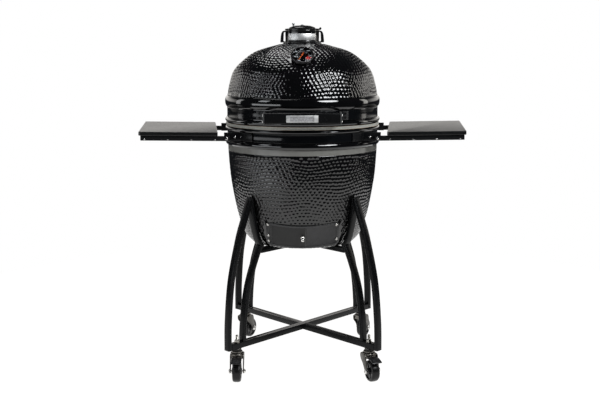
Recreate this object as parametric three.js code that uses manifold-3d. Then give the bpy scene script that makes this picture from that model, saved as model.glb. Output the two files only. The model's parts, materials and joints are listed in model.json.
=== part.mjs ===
// A large kamado: a ceramic grill on a four-legged rolling stand, with two fold-down side shelves.
// Millimetres, +Z up. The origin is on the floor under the vertical axis of the ceramic body.
// The front, with the handle, the thermometer and the draft door, faces -Y.
import * as THREE from 'three';
import Module from 'manifold-3d';
import { mergeVertices } from 'three/addons/utils/BufferGeometryUtils.js';

const wasm = await Module();
wasm.setup();

// ---- Driving dimensions ----
const GAP = 0.3; // clearance between pieces that touch
const BODY_SIDES = 40; // facets round the ceramic body and all that hugs it
const RING_SIDES = 24; // facets round the loose inner rings
const SLIDE_SIDES = 120; // facets round the door and its track, which slide on each other

const rimZ = 880.5; // height of the split between base and lid
const gasketHeight = 4.6;
const gasketRadius = 274;
const seatRadius = 267; // ceramic under the steel bands
const bulgeRadius = 276; // widest ceramic beads
const bandRadius = 269.3; // outer face of the steel bands
const rimInnerRadius = 244;

const bowlFloorZ = 453;
const bowlTopZ = 788;
const lowerBeadZ = [807.5, 831];
const lowerBandZ = [831.3, 860.7];
const baseRimBeadZ = [861, 873];
const lidRimBeadZ = [886.5, 904.5];
const upperBandZ = [906.3, 938.7];
const domeBeadZ = [940, 978];
const domeTopZ = 1158;
const chimneyRadius = 48;

const bowlOutline = [[186, 457], [210, 485], [229.5, 537], [244.5, 600], [260, 692], [267, bowlTopZ]];
const domeOutline = [[267.5, 979], [259, 1022], [242, 1069], [199, 1111], [156, 1136], [78, domeTopZ]];

const shelfSize = { out: 265.5, deep: 434, thick: 13 };
const shelfSplay = THREE.MathUtils.degToRad(6.4);
const shelfRise = THREE.MathUtils.degToRad(1.2); // the outer end sits a little higher
const shelfPivot = { x: 280.3, y: 18.25, z: 840.5 };
const shelfInner = 31; // from the pivot line to the board's inner edge
const boardTop = 22.1; // above the pivot line
const armSize = { deep: 12, tall: 17 };
const armPlace = 199; // inner face of each arm, from the shelf's middle

const tube = { thick: 15, wide: 25 };
const crossHeight = 20;
const crossFloorZ = 113;
const legFootRadius = 366;
const casterRadius = 325;
const wheelRadius = 37.5;
const wheelWidth = 29;
const wheelTrail = 26;

const hinge = { y: 317.8, z: rimZ, hub: 14, shaft: 6 };
const gripY = -320;
const gripZ = 919;
const gripSize = { long: 247, tall: 36, deep: 20 };

const dial = { radius: 39, r: 199.2, z: 1114.1, tilt: THREE.MathUtils.degToRad(46) };
const ventRadius = 60;
const ventZ = { collar: domeTopZ + GAP, housing: 1163.3, cover: 1206.6, disc: 1212 };
// The draft door slides round the axis of a barrel that leans forward as the bowl's wall does.
const draft = { radius: 230, lean: THREE.MathUtils.degToRad(15.2), z: 565.8, low: -42, high: 42 };

// ---- Materials ----
const paint = (color, roughness, metalness) =>
  new THREE.MeshStandardMaterial({ color, roughness, metalness });
const blackGlaze = paint(0x0b0b0c, 0.12, 0);
const rawCeramic = paint(0xb9a58c, 0.85, 0);
const blackPaint = paint(0x0c0c0d, 0.38, 0.3);
const castBlack = paint(0x101011, 0.45, 0.6);
const steel = paint(0xb8b8b6, 0.3, 1);
const zinc = paint(0xa9a79f, 0.35, 1);
const felt = paint(0x8f9088, 0.95, 0);
const ironGrey = paint(0x2a2826, 0.8, 0.4);
const shelfBlack = paint(0x3a3a3b, 0.5, 0);
const rubber = paint(0x141415, 0.7, 0);
const dialFace = paint(0x0a0a0a, 0.5, 0);
const needlePaint = paint(0xd8531c, 0.5, 0);
const clearGlass = paint(0xe8f0f2, 0.05, 0);

// ---- Solid helpers: every one takes and returns a BufferGeometry ----
function solid(geometry) {
  const bare = geometry.index ? geometry.toNonIndexed() : geometry.clone();
  bare.deleteAttribute('normal');
  bare.deleteAttribute('uv');
  const merged = mergeVertices(bare, 1e-3);
  const corners = merged.index.array;
  const kept = [];
  for (let i = 0; i < corners.length; i += 3) {
    const [a, b, c] = [corners[i], corners[i + 1], corners[i + 2]];
    if (a !== b && b !== c && c !== a) kept.push(a, b, c);
  }
  const vertProperties = merged.attributes.position.array;
  const triVerts = new Uint32Array(kept);
  return new wasm.Manifold(new wasm.Mesh({ numProp: 3, vertProperties, triVerts }));
}

function geometryOf(manifold) {
  const mesh = manifold.getMesh();
  const geometry = new THREE.BufferGeometry();
  geometry.setAttribute('position', new THREE.BufferAttribute(mesh.vertProperties, 3));
  geometry.setIndex(new THREE.BufferAttribute(mesh.triVerts, 1));
  return geometry;
}

const join = (first, ...rest) =>
  geometryOf(rest.reduce((sum, piece) => sum.add(solid(piece)), solid(first)));
const cut = (first, ...rest) =>
  geometryOf(rest.reduce((sum, piece) => sum.subtract(solid(piece)), solid(first)));
const common = (first, second) => geometryOf(solid(first).intersect(solid(second)));

// ---- Shape helpers ----
// A solid of revolution about Z from a closed outline of [radius, height] points.
function revolve(outline, sides = BODY_SIDES) {
  const turns = outline.map(([r, z], i) => {
    const [r2, z2] = outline[(i + 1) % outline.length];
    return r * z2 - r2 * z;
  });
  const upright = turns.reduce((sum, value) => sum + value, 0) > 0;
  const ordered = upright ? [...outline] : [...outline].reverse();
  ordered.push(ordered[0]);
  const points = ordered.map(([r, z]) => new THREE.Vector2(r, z));
  return new THREE.LatheGeometry(points, sides).rotateX(Math.PI / 2);
}

const ring = (inner, outer, low, high, sides = BODY_SIDES) =>
  revolve([[inner, low], [outer, low], [outer, high], [inner, high]], sides);

const rod = (radius, low, high, sides = 16) =>
  revolve([[0, low], [radius, low], [radius, high], [0, high]], sides);

function box(x, y, z) {
  const centre = [x, y, z].map(([low, high]) => (low + high) / 2);
  const size = [x, y, z].map(([low, high]) => high - low);
  return new THREE.BoxGeometry(...size).translate(...centre);
}

// A flat outline of [x, y] points pushed up along Z.
function plate(outline, low, high) {
  const shape = new THREE.Shape(outline.map(([x, y]) => new THREE.Vector2(x, y)));
  const geometry = new THREE.ExtrudeGeometry(shape, { depth: high - low, bevelEnabled: false });
  return geometry.translate(0, 0, low);
}

// An outline of [x, z] points pushed along Y; an outline of [y, z] points pushed along X.
const frontPlate = (outline, low, high) => plate(outline, -high, -low).rotateX(Math.PI / 2);
const sidePlate = (outline, low, high) =>
  plate(outline, low, high).rotateX(Math.PI / 2).rotateZ(Math.PI / 2);

const alongX = (geometry) => geometry.rotateY(Math.PI / 2);
const alongY = (geometry) => geometry.rotateX(-Math.PI / 2);

function roundedBox(width, height, radius, steps = 3) {
  const points = [];
  for (const [sx, sy, start] of [[1, -1, -90], [1, 1, 0], [-1, 1, 90], [-1, -1, 180]]) {
    for (let i = 0; i <= steps; i++) {
      const angle = THREE.MathUtils.degToRad(start + (90 * i) / steps);
      const x = sx * (width / 2 - radius) + radius * Math.cos(angle);
      const y = sy * (height / 2 - radius) + radius * Math.sin(angle);
      points.push([x, y]);
    }
  }
  return points;
}

function circle(x, y, radius, sides = 16) {
  const points = [];
  for (let i = 0; i < sides; i++) {
    const angle = (2 * Math.PI * i) / sides;
    points.push([x + radius * Math.cos(angle), y + radius * Math.sin(angle)]);
  }
  return points;
}

// Points on a smooth curve through a few chosen ones.
function smooth(points, steps) {
  const curve = new THREE.SplineCurve(points.map(([x, y]) => new THREE.Vector2(x, y)));
  return curve.getPoints(steps).map(({ x, y }) => [x, y]);
}

// Half-round bead on a wall: from its lower to its upper edge.
function bead([low, high], wall, peak, steps = 3) {
  const points = [];
  for (let i = 0; i <= steps; i++) {
    const angle = -Math.PI / 2 + (Math.PI * i) / steps;
    const z = (low + high) / 2 + ((high - low) / 2) * Math.sin(angle);
    points.push([wall + (peak - wall) * Math.cos(angle), z]);
  }
  return points;
}

// ---- Scene graph ----
const kamado = new THREE.Group();

function add(name, geometry, material, parent = kamado) {
  const mesh = new THREE.Mesh(geometry, material);
  mesh.name = name;
  parent.add(mesh);
  return mesh;
}

function group(x, y, z, turnZ = 0) {
  const made = new THREE.Group();
  made.position.set(x, y, z);
  made.rotation.z = turnZ;
  kamado.add(made);
  return made;
}

// ---- Ceramic body ----
function bowlSurface() {
  return [[150, bowlFloorZ], [172, bowlFloorZ + 1], ...smooth(bowlOutline, 7)];
}

function baseBowl() {
  const outside = [
    [0, bowlFloorZ],
    ...bowlSurface(),
    [seatRadius, lowerBeadZ[0]],
    ...bead(lowerBeadZ, seatRadius, bulgeRadius),
    ...bead(baseRimBeadZ, seatRadius, bulgeRadius),
    [gasketRadius, rimZ - gasketHeight],
  ];
  const inside = [[rimInnerRadius, rimZ - gasketHeight], [242, 780], [236, 700], [214, 600], [184, 505],
    [168, 480], [140, 472], [0, 472]];
  const draftHole = box([-90, 8], [-260, -120], [477, 538]);
  return cut(revolve([...outside, ...inside]), draftHole);
}

function domeLid() {
  const outside = [
    [gasketRadius, rimZ + gasketHeight],
    ...bead(lidRimBeadZ, seatRadius, bulgeRadius),
    ...bead(domeBeadZ, seatRadius, bulgeRadius),
    ...smooth(domeOutline, 9),
    [chimneyRadius, domeTopZ],
  ];
  const inside = [[chimneyRadius, 1136], [80, 1134], [150, 1113], [192, 1085], [222, 1050], [238, 1005],
    [243, 960], [rimInnerRadius, rimZ + gasketHeight]];
  const probeHole = placeOnDome(rod(7, -60, 10, 12));
  return cut(revolve([...outside, ...inside]), probeHole);
}

const gasket = (low, high) => ring(rimInnerRadius + 2, gasketRadius, low, high);
const steelBand = ([low, high]) => ring(seatRadius + GAP, bandRadius, low, high);

// ---- Loose ceramics and iron inside ----
function firebox() {
  const outline = [[104, 472.4], [138, 472.4], [172, 510], [196, 600], [212, 701], [190, 701],
    [172, 600], [152, 576], [112, 576]];
  const airNotch = box([-75, 75], [-220, -60], [460, 536]);
  return cut(revolve(outline, RING_SIDES), airNotch);
}

const fireRing = () => ring(190, 214, 701.4, 790, RING_SIDES);

function charcoalGrate() {
  const holes = [];
  for (let ringIndex = 1; ringIndex <= 2; ringIndex++) {
    const count = 2 + 4 * ringIndex;
    for (let i = 0; i < count; i++) {
      const angle = (2 * Math.PI * i) / count;
      const reach = 52 * ringIndex - 4;
      holes.push(rod(9, 570, 590, 6).translate(reach * Math.cos(angle), reach * Math.sin(angle), 0));
    }
  }
  return cut(rod(142, 576.4, 584, 24), ...holes);
}

function cookingGrid() {
  const rim = ring(219, 227, 790.4, 797.4, RING_SIDES);
  const bars = [box([-221, 221], [-3, 3], [792, 797.2])];
  for (let i = -5; i <= 5; i++) {
    const x = i * 36;
    const half = Math.sqrt(221 ** 2 - x ** 2);
    bars.push(box([x - 2, x + 2], [-half, half], [797, 801]));
  }
  return join(rim, ...bars);
}

// ---- Thermometer ----
function placeOnDome(geometry) {
  return geometry.rotateX(Math.PI / 2 - dial.tilt).translate(0, -dial.r, dial.z);
}

function thermometerCase() {
  const outline = [[0, 1.4], [dial.radius - 3, 1.4], [dial.radius, 4], [dial.radius, 11],
    [dial.radius - 2.5, 13.5], [dial.radius - 6, 13.5], [dial.radius - 6, 8.6], [0, 8.6]];
  return join(revolve(outline, 24), rod(5, -58, 4, 8));
}

function needleShape() {
  const outline = [[-2, -9], [2, -9], [2.4, 0], [0.7, 24], [-0.7, 24], [-2.4, 0]];
  const pointer = plate(outline, 10.4, 11.1);
  const turn = THREE.MathUtils.degToRad(154);
  return join(pointer, rod(3.6, 10.1, 11.4, 12)).rotateZ(turn);
}

// ---- Top vent ----
function ventCollar() {
  return revolve([[44, 1136], [47.4, 1136], [47.4, ventZ.collar], [70, ventZ.collar],
    [66, ventZ.housing - GAP], [44, ventZ.housing - GAP]], 24);
}

function ventHousing() {
  const wall = ring(ventRadius - 5, ventRadius, ventZ.housing, ventZ.cover - GAP, 24);
  const foot = ring(ventRadius - 6, ventRadius + 4, ventZ.housing, ventZ.housing + 4, 24);
  const ears = [];
  for (const side of [-1, 1]) {
    const outline = [[62, 0], [77, 0], [74, 32], [70, 40], [57, 41], [57, 37], [65, 34], [66, 4], [58, 4]];
    const mirrored = outline.map(([x, z]) => [side * x, z + ventZ.housing]);
    ears.push(frontPlate(mirrored, -13, 13));
  }
  return join(wall, foot, ...ears);
}

function petals(z, offset) {
  const holes = [];
  for (let i = 0; i < 5; i++) {
    const angle = offset + (2 * Math.PI * i) / 5;
    holes.push(rod(9.5, z - 20, z + 20, 8).translate(26 * Math.cos(angle), 26 * Math.sin(angle), 0));
  }
  return holes;
}

function ventCover() {
  const lid = rod(ventRadius + 1, ventZ.cover, ventZ.cover + 4.8, 24);
  const lug = box([52, 66], [-20, 20], [ventZ.cover, ventZ.cover + 4.8]);
  const barrel = alongY(rod(4, -20, 20, 10)).translate(64, 0, ventZ.cover + 5);
  return cut(join(lid, lug, barrel), ...petals(ventZ.cover, Math.PI / 2));
}

function ventDisc() {
  const z = ventZ.disc;
  const dome = revolve([[0, z], [47, z], [47, z + 2.5], [36, z + 7.5], [20, z + 10.5], [0, z + 11.2]], 24);
  const nut = rod(4.5, z + 9, z + 13.6, 6);
  return join(cut(dome, ...petals(z, Math.PI / 2 + Math.PI / 5)), nut);
}

function ventKnob() {
  const outline = [[0, 8.6], [3.2, 8.6], [3.2, 13], [5, 14], [5, 18.3], [0, 18.3]];
  return revolve(outline, 12).translate(-31, -16, ventZ.disc);
}

// ---- Hinge ----
function hingeFoot(footZ) {
  const block = box([-58, 58], [240, 275.5], [footZ - 14, footZ + 14]);
  return cut(block, rod(bandRadius + GAP, footZ - 40, footZ + 40, BODY_SIDES));
}

const hingeBore = () => alongX(rod(hinge.shaft + GAP, -90, 90, 12)).translate(0, hinge.y, hinge.z);
const hingeHub = (low, high) =>
  alongX(rod(hinge.hub, low, high, 16)).translate(0, hinge.y, hinge.z);

// An arm from the foot to the hinge line; `root` is how far its far corner is from that line.
function hingeArm(side, root, low, high) {
  const outline = [[-48, root], [-42, root], [-20, 32], [7, 11], [11, 0], [-12, 0], [-24, 16],
    [-40.2, 31], [-48, 33]];
  const placed = outline.map(([dy, dz]) => [hinge.y + dy, hinge.z + side * dz]);
  return sidePlate(side > 0 ? placed.reverse() : placed, low, high);
}

function hingeBase() {
  const parts = [hingeFoot((lowerBandZ[0] + lowerBandZ[1]) / 2)];
  for (const side of [-1, 1]) {
    const [low, high] = side < 0 ? [-46, -40] : [40, 46];
    parts.push(hingeArm(-1, 48, low, high), hingeHub(low, high));
  }
  const body = join(...parts);
  return cut(body, hingeBore(), rod(bandRadius + GAP, 790, 862, BODY_SIDES));
}

function hingeLid() {
  const parts = [hingeFoot((upperBandZ[0] + upperBandZ[1]) / 2), hingeHub(-12, 12)];
  parts.push(hingeArm(1, 56, -12, -5), hingeArm(1, 56, 5, 12));
  const body = join(...parts);
  return cut(body, hingeBore(), rod(bandRadius + GAP, 900, 970, BODY_SIDES));
}

function hingeShaft() {
  const pin = rod(hinge.shaft, -50, 50, 12);
  const heads = [rod(9, -52, -46.4, 12), rod(9, 46.4, 52, 12)];
  return alongX(join(pin, ...heads)).translate(0, hinge.y, hinge.z);
}

// A coil round the shaft, with both tails lying against the base bracket's side.
function hingeSpring(side) {
  const coil = { radius: 10.3, wire: 1.7, turns: 4, start: 15.2, pitch: 5.4, perTurn: 10 };
  const points = [];
  const count = coil.turns * coil.perTurn;
  points.push(new THREE.Vector3(side * coil.start, hinge.y - 9, hinge.z - 20));
  for (let i = 0; i <= count; i++) {
    const angle = Math.PI + (2 * Math.PI * i) / coil.perTurn;
    const x = coil.start + (coil.pitch * i) / coil.perTurn;
    const y = hinge.y + coil.radius * Math.cos(angle);
    const z = hinge.z + coil.radius * Math.sin(angle);
    points.push(new THREE.Vector3(side * x, y, z));
  }
  const end = coil.start + coil.pitch * coil.turns;
  points.push(new THREE.Vector3(side * end, hinge.y - 12, hinge.z - 20));
  const extrudePath = new THREE.CatmullRomCurve3(points, false, 'catmullrom', 0.3);
  const section = new THREE.Shape(circle(0, 0, coil.wire, 5).map(([x, y]) => new THREE.Vector2(x, y)));
  return new THREE.ExtrudeGeometry(section, { steps: count + 4, extrudePath, bevelEnabled: false });
}

// ---- Handle ----
function handleBracket(side) {
  const inner = gripSize.long / 2 + GAP;
  const span = [inner, inner + 4.5].map((x) => side * x).sort((a, b) => a - b);
  const [low, high] = [gripZ - gripSize.tall / 2, gripZ + gripSize.tall / 2];
  const reach = gripY - gripSize.deep / 2;
  const outline = [[reach, low], [-286, low], [-276, 907], [-232, 907], [-232, high], [reach, high]];
  const arm = sidePlate(outline, ...span);
  const footSpan = [inner, inner + 30].map((x) => side * x).sort((a, b) => a - b);
  const hug = ring(bandRadius + GAP, bandRadius + 5, 907, 936);
  const foot = common(hug, box(footSpan, [-300, 0], [907, 936]));
  return join(cut(arm, rod(bandRadius + GAP, 880, 960, BODY_SIDES)), foot);
}

function handleGrip() {
  const outline = roundedBox(gripSize.deep, gripSize.tall, 5);
  return sidePlate(outline, -gripSize.long / 2, gripSize.long / 2).translate(0, gripY, gripZ);
}

function handleBadge() {
  const face = gripY - gripSize.deep / 2;
  const outline = roundedBox(104, 23, 2, 2);
  return frontPlate(outline, face - 1.8, face - GAP).translate(0, 0, gripZ - 1);
}

function ventBadge() {
  const hug = ring(ventRadius + GAP, ventRadius + 1.6, 1170, 1196, 24);
  return common(hug, box([-48, 48], [-80, 0], [1171, 1194]));
}

// ---- Draft door ----
const placeOnBowl = (shape) => shape.rotateX(draft.lean).translate(0, 0, draft.z);

function barrelLayer(inner, outer, sides) {
  const reach = draft.high + 30;
  const [near, far] = [draft.radius + inner, draft.radius + outer];
  return revolve([[near, -reach], [far, -reach], [far, reach], [near, reach]], sides);
}

const window = (x, z, radius) => {
  const [wide, tall] = [x[1] - x[0], z[1] - z[0]];
  const moved = ([px, pz]) => [px + (x[0] + x[1]) / 2, pz + (z[0] + z[1]) / 2];
  return roundedBox(wide, tall, radius, 2).map(moved);
};

// The part of a barrel layer that lies behind a rounded window in x and z.
const barrelPatch = (layer, x, z, radius) =>
  common(layer, frontPlate(window(x, z, radius), -300, -60));

function draftFrame() {
  const { low, high } = draft;
  const blank = barrelPatch(barrelLayer(-22, 5, BODY_SIDES), [-126, 126], [low, high], 12);
  const opening = frontPlate(window([-88, 6], [low + 16, high - 16], 5), -300, -60);
  const track = barrelPatch(barrelLayer(2.2, 30, SLIDE_SIDES), [-114, 116], [low + 7, high - 7], 5);
  const bowl = revolve([[0, 430], ...bowlSurface().map(([r, z]) => [r + GAP, z]), [0, bowlTopZ]]);
  return cut(placeOnBowl(cut(blank, opening, track)), bowl);
}

const draftDoor = () =>
  placeOnBowl(barrelPatch(barrelLayer(2.6, 4.4, SLIDE_SIDES), [-108, 13], [draft.low + 8, draft.high - 8], 5));

function draftKnob() {
  const stem = rod(2.5, 0, 13, 10);
  const ball = new THREE.SphereGeometry(6.5, 12, 8).translate(0, 0, 15);
  const forward = alongY(join(stem, ball)).rotateZ(Math.PI);
  return placeOnBowl(forward.translate(0, -draft.radius - 4.4 - GAP, -2));
}

// ---- Stand ----
// A tube of the stand along a smooth line of [radius, height] points, in the leg's own plane.
function standTube(points, steps, grow = 0) {
  const half = tube.thick / 2 + grow;
  const middle = smooth(points, steps);
  const edge = (sign) => middle.map(([r, z], i) => {
    const [r1, z1] = middle[Math.max(i - 1, 0)];
    const [r2, z2] = middle[Math.min(i + 1, middle.length - 1)];
    const length = Math.hypot(r2 - r1, z2 - z1);
    return [r - (sign * half * (z2 - z1)) / length, z + (sign * half * (r2 - r1)) / length];
  });
  const wide = tube.wide / 2 + grow;
  return frontPlate([...edge(1), ...edge(-1).reverse()], -wide, wide);
}

const outerLine = [[257, 632], [285.5, 561], [311, 493], [347, 357], [363, 218],
  [legFootRadius, crossFloorZ]];
const armLine = [[258.8, 632], [240.5, 540], [222.5, 480], [206, 459]];
const innerLine = [[217, 459], [251, 384], [275, 315], [291, 230], [298, 158],
  [298.5, crossFloorZ + crossHeight + 1]];

function leg(grow = 0) {
  return join(standTube(outerLine, 12, grow), standTube(armLine, 5, grow), standTube(innerLine, 9, grow));
}

const legAngles = { front_right: -45, rear_right: 45, rear_left: 135, front_left: -135 };
const cornerNames = Object.keys(legAngles);
const turnOf = (name) => THREE.MathUtils.degToRad(legAngles[name]);

function crossUpper() {
  const bars = [45, 135].map((angle) => {
    const bar = box([-216, 216], [-tube.wide / 2, tube.wide / 2], [bowlFloorZ - 18, bowlFloorZ - GAP]);
    return bar.rotateZ(THREE.MathUtils.degToRad(angle));
  });
  const legs = cornerNames.map((name) => leg(GAP).rotateZ(turnOf(name)));
  return cut(join(...bars), ...legs);
}

function crossLower() {
  const reach = legFootRadius - tube.thick / 2 - 1;
  const top = crossFloorZ + crossHeight - GAP;
  const bars = [45, 135].map((angle) => {
    const bar = box([-reach, reach], [-tube.wide / 2, tube.wide / 2], [crossFloorZ, top]);
    return bar.rotateZ(THREE.MathUtils.degToRad(angle));
  });
  const bores = cornerNames.map((name) => {
    const bore = rod(5.6, crossFloorZ - 5, top + 5, 12).translate(casterRadius, 0, 0);
    return bore.rotateZ(turnOf(name));
  });
  return cut(join(...bars), ...bores);
}

// ---- Casters, in a frame whose Z axis is the swivel axis and whose +X side trails ----
function casterStem() {
  const crossTop = crossFloorZ + crossHeight;
  const bolt = rod(5.2, 97.9, crossTop + 27, 8);
  const race = rod(19, 97.9, crossFloorZ - 0.4, 12);
  const nut = rod(9, crossTop + 0.1, crossTop + 12, 6);
  return join(bolt, race, nut);
}

const casterAxle = () =>
  alongY(rod(4, -28.5, 28.5, 10)).translate(wheelTrail, 0, wheelRadius);

function casterFork() {
  const top = rod(24, 90, 97.5, 12);
  const outline = [[-20, 96], [22, 96], [wheelTrail + 9, 42], [wheelTrail + 6, 31], [wheelTrail - 6, 31],
    [wheelTrail - 10, 40], [-17, 74], [-21, 84]];
  const cheeks = [frontPlate(outline, -24.5, -21), frontPlate(outline, 21, 24.5)];
  const crown = box([-19, 20], [-24.5, 24.5], [90, 96]);
  return join(top, crown, ...cheeks, casterAxle());
}

function casterWheel() {
  const half = wheelWidth / 2;
  const outline = [[4.4, -18], [11, -18], [12, 4 - half], [26, 4 - half], [27, -half], [33, -half],
    [wheelRadius, 6 - half], [wheelRadius, half - 6], [33, half], [27, half], [26, half - 4],
    [12, half - 4], [11, 18], [4.4, 18]];
  return alongY(revolve(outline, 18)).translate(wheelTrail, 0, wheelRadius);
}

function brakePedal() {
  const outline = [[24, 87], [46, 87], [66, 81], [69, 76], [65, 77], [44, 82], [24, 82]];
  return frontPlate(outline, -18, 18);
}

// ---- Side shelves, in a frame whose X axis points away from the body; side is 1 or -1 ----
function shelfBoard() {
  const outline = roundedBox(shelfSize.out, shelfSize.deep, 6, 3);
  const board = plate(outline, boardTop - shelfSize.thick, boardTop);
  return board.translate(shelfInner + shelfSize.out / 2, 0, 0);
}

function shelfFrame() {
  const top = boardTop - shelfSize.thick - GAP;
  const z = [top - armSize.tall, top];
  const reach = shelfInner + shelfSize.out - 6;
  const arms = [-1, 1].map((end) => {
    const span = [end * armPlace, end * (armPlace + armSize.deep)].sort((a, b) => a - b);
    return box([-11, reach], span, z);
  });
  const rails = [150, reach - 12].map((x) => box([x, x + 12], [-armPlace - 1, armPlace + 1], z));
  const bore = alongY(rod(4.2, -260, 260, 10));
  return cut(join(...arms, ...rails), bore);
}

// The bracket stands on the band with a curved foot; `band` is the band's place in the shelf's frame.
function shelfBracket(end, isFront, band) {
  const [heel, wedge, toe] = isFront ? [-83, -46, -84] : [-128, -92, -172];
  const outer = armPlace - GAP;
  const z = lowerBandZ.map((height) => height - shelfPivot.z);
  const front = (a, b) => [end * a, end * b].sort((p, q) => p - q);
  const strap = box([heel, 9], front(outer - 6, outer), z);
  const block = box([heel, wedge], front(outer - 46, outer), z);
  const hug = band(ring(bandRadius + GAP, bandRadius + 5, ...z));
  const foot = common(hug, box([toe, wedge], front(outer - 60, 260), z));
  const pin = alongY(rod(3.8, ...front(outer - 5, armPlace + armSize.deep + 3), 10));
  return join(cut(join(strap, block), band(rod(bandRadius + GAP, -60, 60, BODY_SIDES))), foot, pin);
}

// ---- Assembly: base ----
add('base_bowl', baseBowl(), blackGlaze);
add('firebox', firebox(), rawCeramic);
add('fire_ring', fireRing(), rawCeramic);
add('charcoal_grate', charcoalGrate(), ironGrey);
add('cooking_grid', cookingGrid(), steel);
add('gasket_lower', gasket(rimZ - gasketHeight + GAP, rimZ - GAP / 2), felt);
add('band_lower', steelBand(lowerBandZ), blackPaint);
add('draft_frame', draftFrame(), blackPaint);
add('draft_door', draftDoor(), blackPaint);
add('draft_knob', draftKnob(), steel);

// ---- Assembly: lid ----
add('dome_lid', domeLid(), blackGlaze);
add('gasket_upper', gasket(rimZ + GAP / 2, rimZ + gasketHeight - GAP), felt);
add('band_upper', steelBand(upperBandZ), blackPaint);
add('handle_bracket_left', handleBracket(-1), blackPaint);
add('handle_bracket_right', handleBracket(1), blackPaint);
add('handle_grip', handleGrip(), blackPaint);
add('handle_badge', handleBadge(), steel);
add('thermometer_case', placeOnDome(thermometerCase()), castBlack);
add('thermometer_dial', placeOnDome(rod(dial.radius - 6.4, 8.9, 9.7, 24)), dialFace);
add('thermometer_needle', placeOnDome(needleShape()), needlePaint);
add('thermometer_lens', placeOnDome(rod(dial.radius - 6.4, 11.9, 13.2, 24)), clearGlass);
add('vent_collar', ventCollar(), castBlack);
add('vent_housing', ventHousing(), castBlack);
add('vent_badge', ventBadge(), steel);
add('vent_cover', ventCover(), castBlack);
add('vent_disc', ventDisc(), castBlack);
add('vent_knob', ventKnob(), steel);

// ---- Assembly: hinge ----
add('hinge_base_bracket', hingeBase(), blackPaint);
add('hinge_lid_bracket', hingeLid(), blackPaint);
add('hinge_shaft', hingeShaft(), zinc);
add('hinge_spring_left', hingeSpring(-1), zinc);
add('hinge_spring_right', hingeSpring(1), zinc);

// ---- Assembly: stand and casters ----
const trailAngles = { front_left: -90, front_right: -68, rear_left: 62, rear_right: 62 };
add('cross_upper', crossUpper(), blackPaint);
add('cross_lower', crossLower(), blackPaint);
for (const name of cornerNames) {
  add(`leg_${name}`, leg(), blackPaint, group(0, 0, 0, turnOf(name)));
  const x = casterRadius * Math.cos(turnOf(name));
  const y = casterRadius * Math.sin(turnOf(name));
  const caster = group(x, y, 0, THREE.MathUtils.degToRad(trailAngles[name]));
  add(`caster_stem_${name}`, casterStem(), zinc, caster);
  add(`caster_fork_${name}`, casterFork(), zinc, caster);
  add(`caster_wheel_${name}`, casterWheel(), rubber, caster);
  if (name.startsWith('front')) add(`brake_pedal_${name}`, brakePedal(), blackPaint, caster);
}

// ---- Assembly: side shelves ----
for (const side of ['right', 'left']) {
  const turn = side === 'right' ? -shelfSplay : Math.PI + shelfSplay;
  const sign = side === 'right' ? 1 : -1;
  const hangers = group(sign * shelfPivot.x, shelfPivot.y, shelfPivot.z, turn);
  const shelf = new THREE.Group();
  shelf.rotation.y = -shelfRise;
  hangers.add(shelf);
  add(`shelf_board_${side}`, shelfBoard(), shelfBlack, shelf);
  add(`shelf_frame_${side}`, shelfFrame(), blackPaint, shelf);
  for (const end of ['front', 'rear']) {
    const localEnd = (end === 'front' ? -1 : 1) * sign;
    const band = (shape) => shape.translate(-sign * shelfPivot.x, -shelfPivot.y, 0).rotateZ(-turn);
    const bracket = shelfBracket(localEnd, end === 'front', band);
    add(`shelf_bracket_${end}_${side}`, bracket, blackPaint, hangers);
  }
}

export default kamado;
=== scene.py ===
import json
import random
from math import asin, atan2, cos, dist, hypot, pi, radians, sin, sqrt

import bmesh
import bpy
from mathutils import Matrix, Vector, kdtree

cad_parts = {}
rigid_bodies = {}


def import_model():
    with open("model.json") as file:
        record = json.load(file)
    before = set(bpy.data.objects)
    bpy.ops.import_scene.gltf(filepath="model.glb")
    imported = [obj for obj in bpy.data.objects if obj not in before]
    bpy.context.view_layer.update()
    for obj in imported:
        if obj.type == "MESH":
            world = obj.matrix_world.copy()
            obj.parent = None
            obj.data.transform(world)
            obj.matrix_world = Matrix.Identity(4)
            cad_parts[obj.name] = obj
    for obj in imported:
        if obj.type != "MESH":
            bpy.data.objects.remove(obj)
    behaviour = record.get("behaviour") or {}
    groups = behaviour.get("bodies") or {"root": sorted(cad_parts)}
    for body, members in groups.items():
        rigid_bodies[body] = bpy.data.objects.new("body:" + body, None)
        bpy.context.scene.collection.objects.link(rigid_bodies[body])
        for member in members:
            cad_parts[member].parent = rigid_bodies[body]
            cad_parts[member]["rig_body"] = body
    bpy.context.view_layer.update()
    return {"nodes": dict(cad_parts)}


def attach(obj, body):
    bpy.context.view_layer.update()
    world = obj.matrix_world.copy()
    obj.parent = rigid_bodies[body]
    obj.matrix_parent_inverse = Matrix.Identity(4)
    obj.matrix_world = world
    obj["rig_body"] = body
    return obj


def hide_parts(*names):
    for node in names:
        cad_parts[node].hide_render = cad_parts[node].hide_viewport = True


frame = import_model()

# ---- Driving dimensions, in metres: the CAD's, and those of the glaze ----
RIM_Z = 0.8805
SEAT_R, BEAD_R, BAND_R, MOUTH_R = 0.267, 0.276, 0.2693, 0.244
RIM_R = 0.2738  # the outer edge of the felt and of the ceramic that it lies on
BOWL_LINE = [(0.186, 0.457), (0.21, 0.485), (0.2295, 0.537), (0.2445, 0.6), (0.26, 0.692), (0.267, 0.788)]
DOME_LINE = [(0.2675, 0.979), (0.259, 1.022), (0.242, 1.069), (0.199, 1.111), (0.156, 1.136), (0.078, 1.158)]
LOWER_BEAD, BASE_RIM_BEAD = (0.8075, 0.831), (0.861, 0.873)
LID_RIM_BEAD, DOME_BEAD = (0.8865, 0.9045), (0.94, 0.978)
SKIN_SIDES, BODY_SIDES, LIP_DEPTH = 640, 224, 0.004
CORE_BEHIND = 0.0022  # how far the solid ceramic lies behind its dimpled skin
DIMPLE = {"pitch": 0.0134, "radius": 0.0068, "depth": 0.0021, "stray": 0.0013, "wander": 0.0045}
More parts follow.
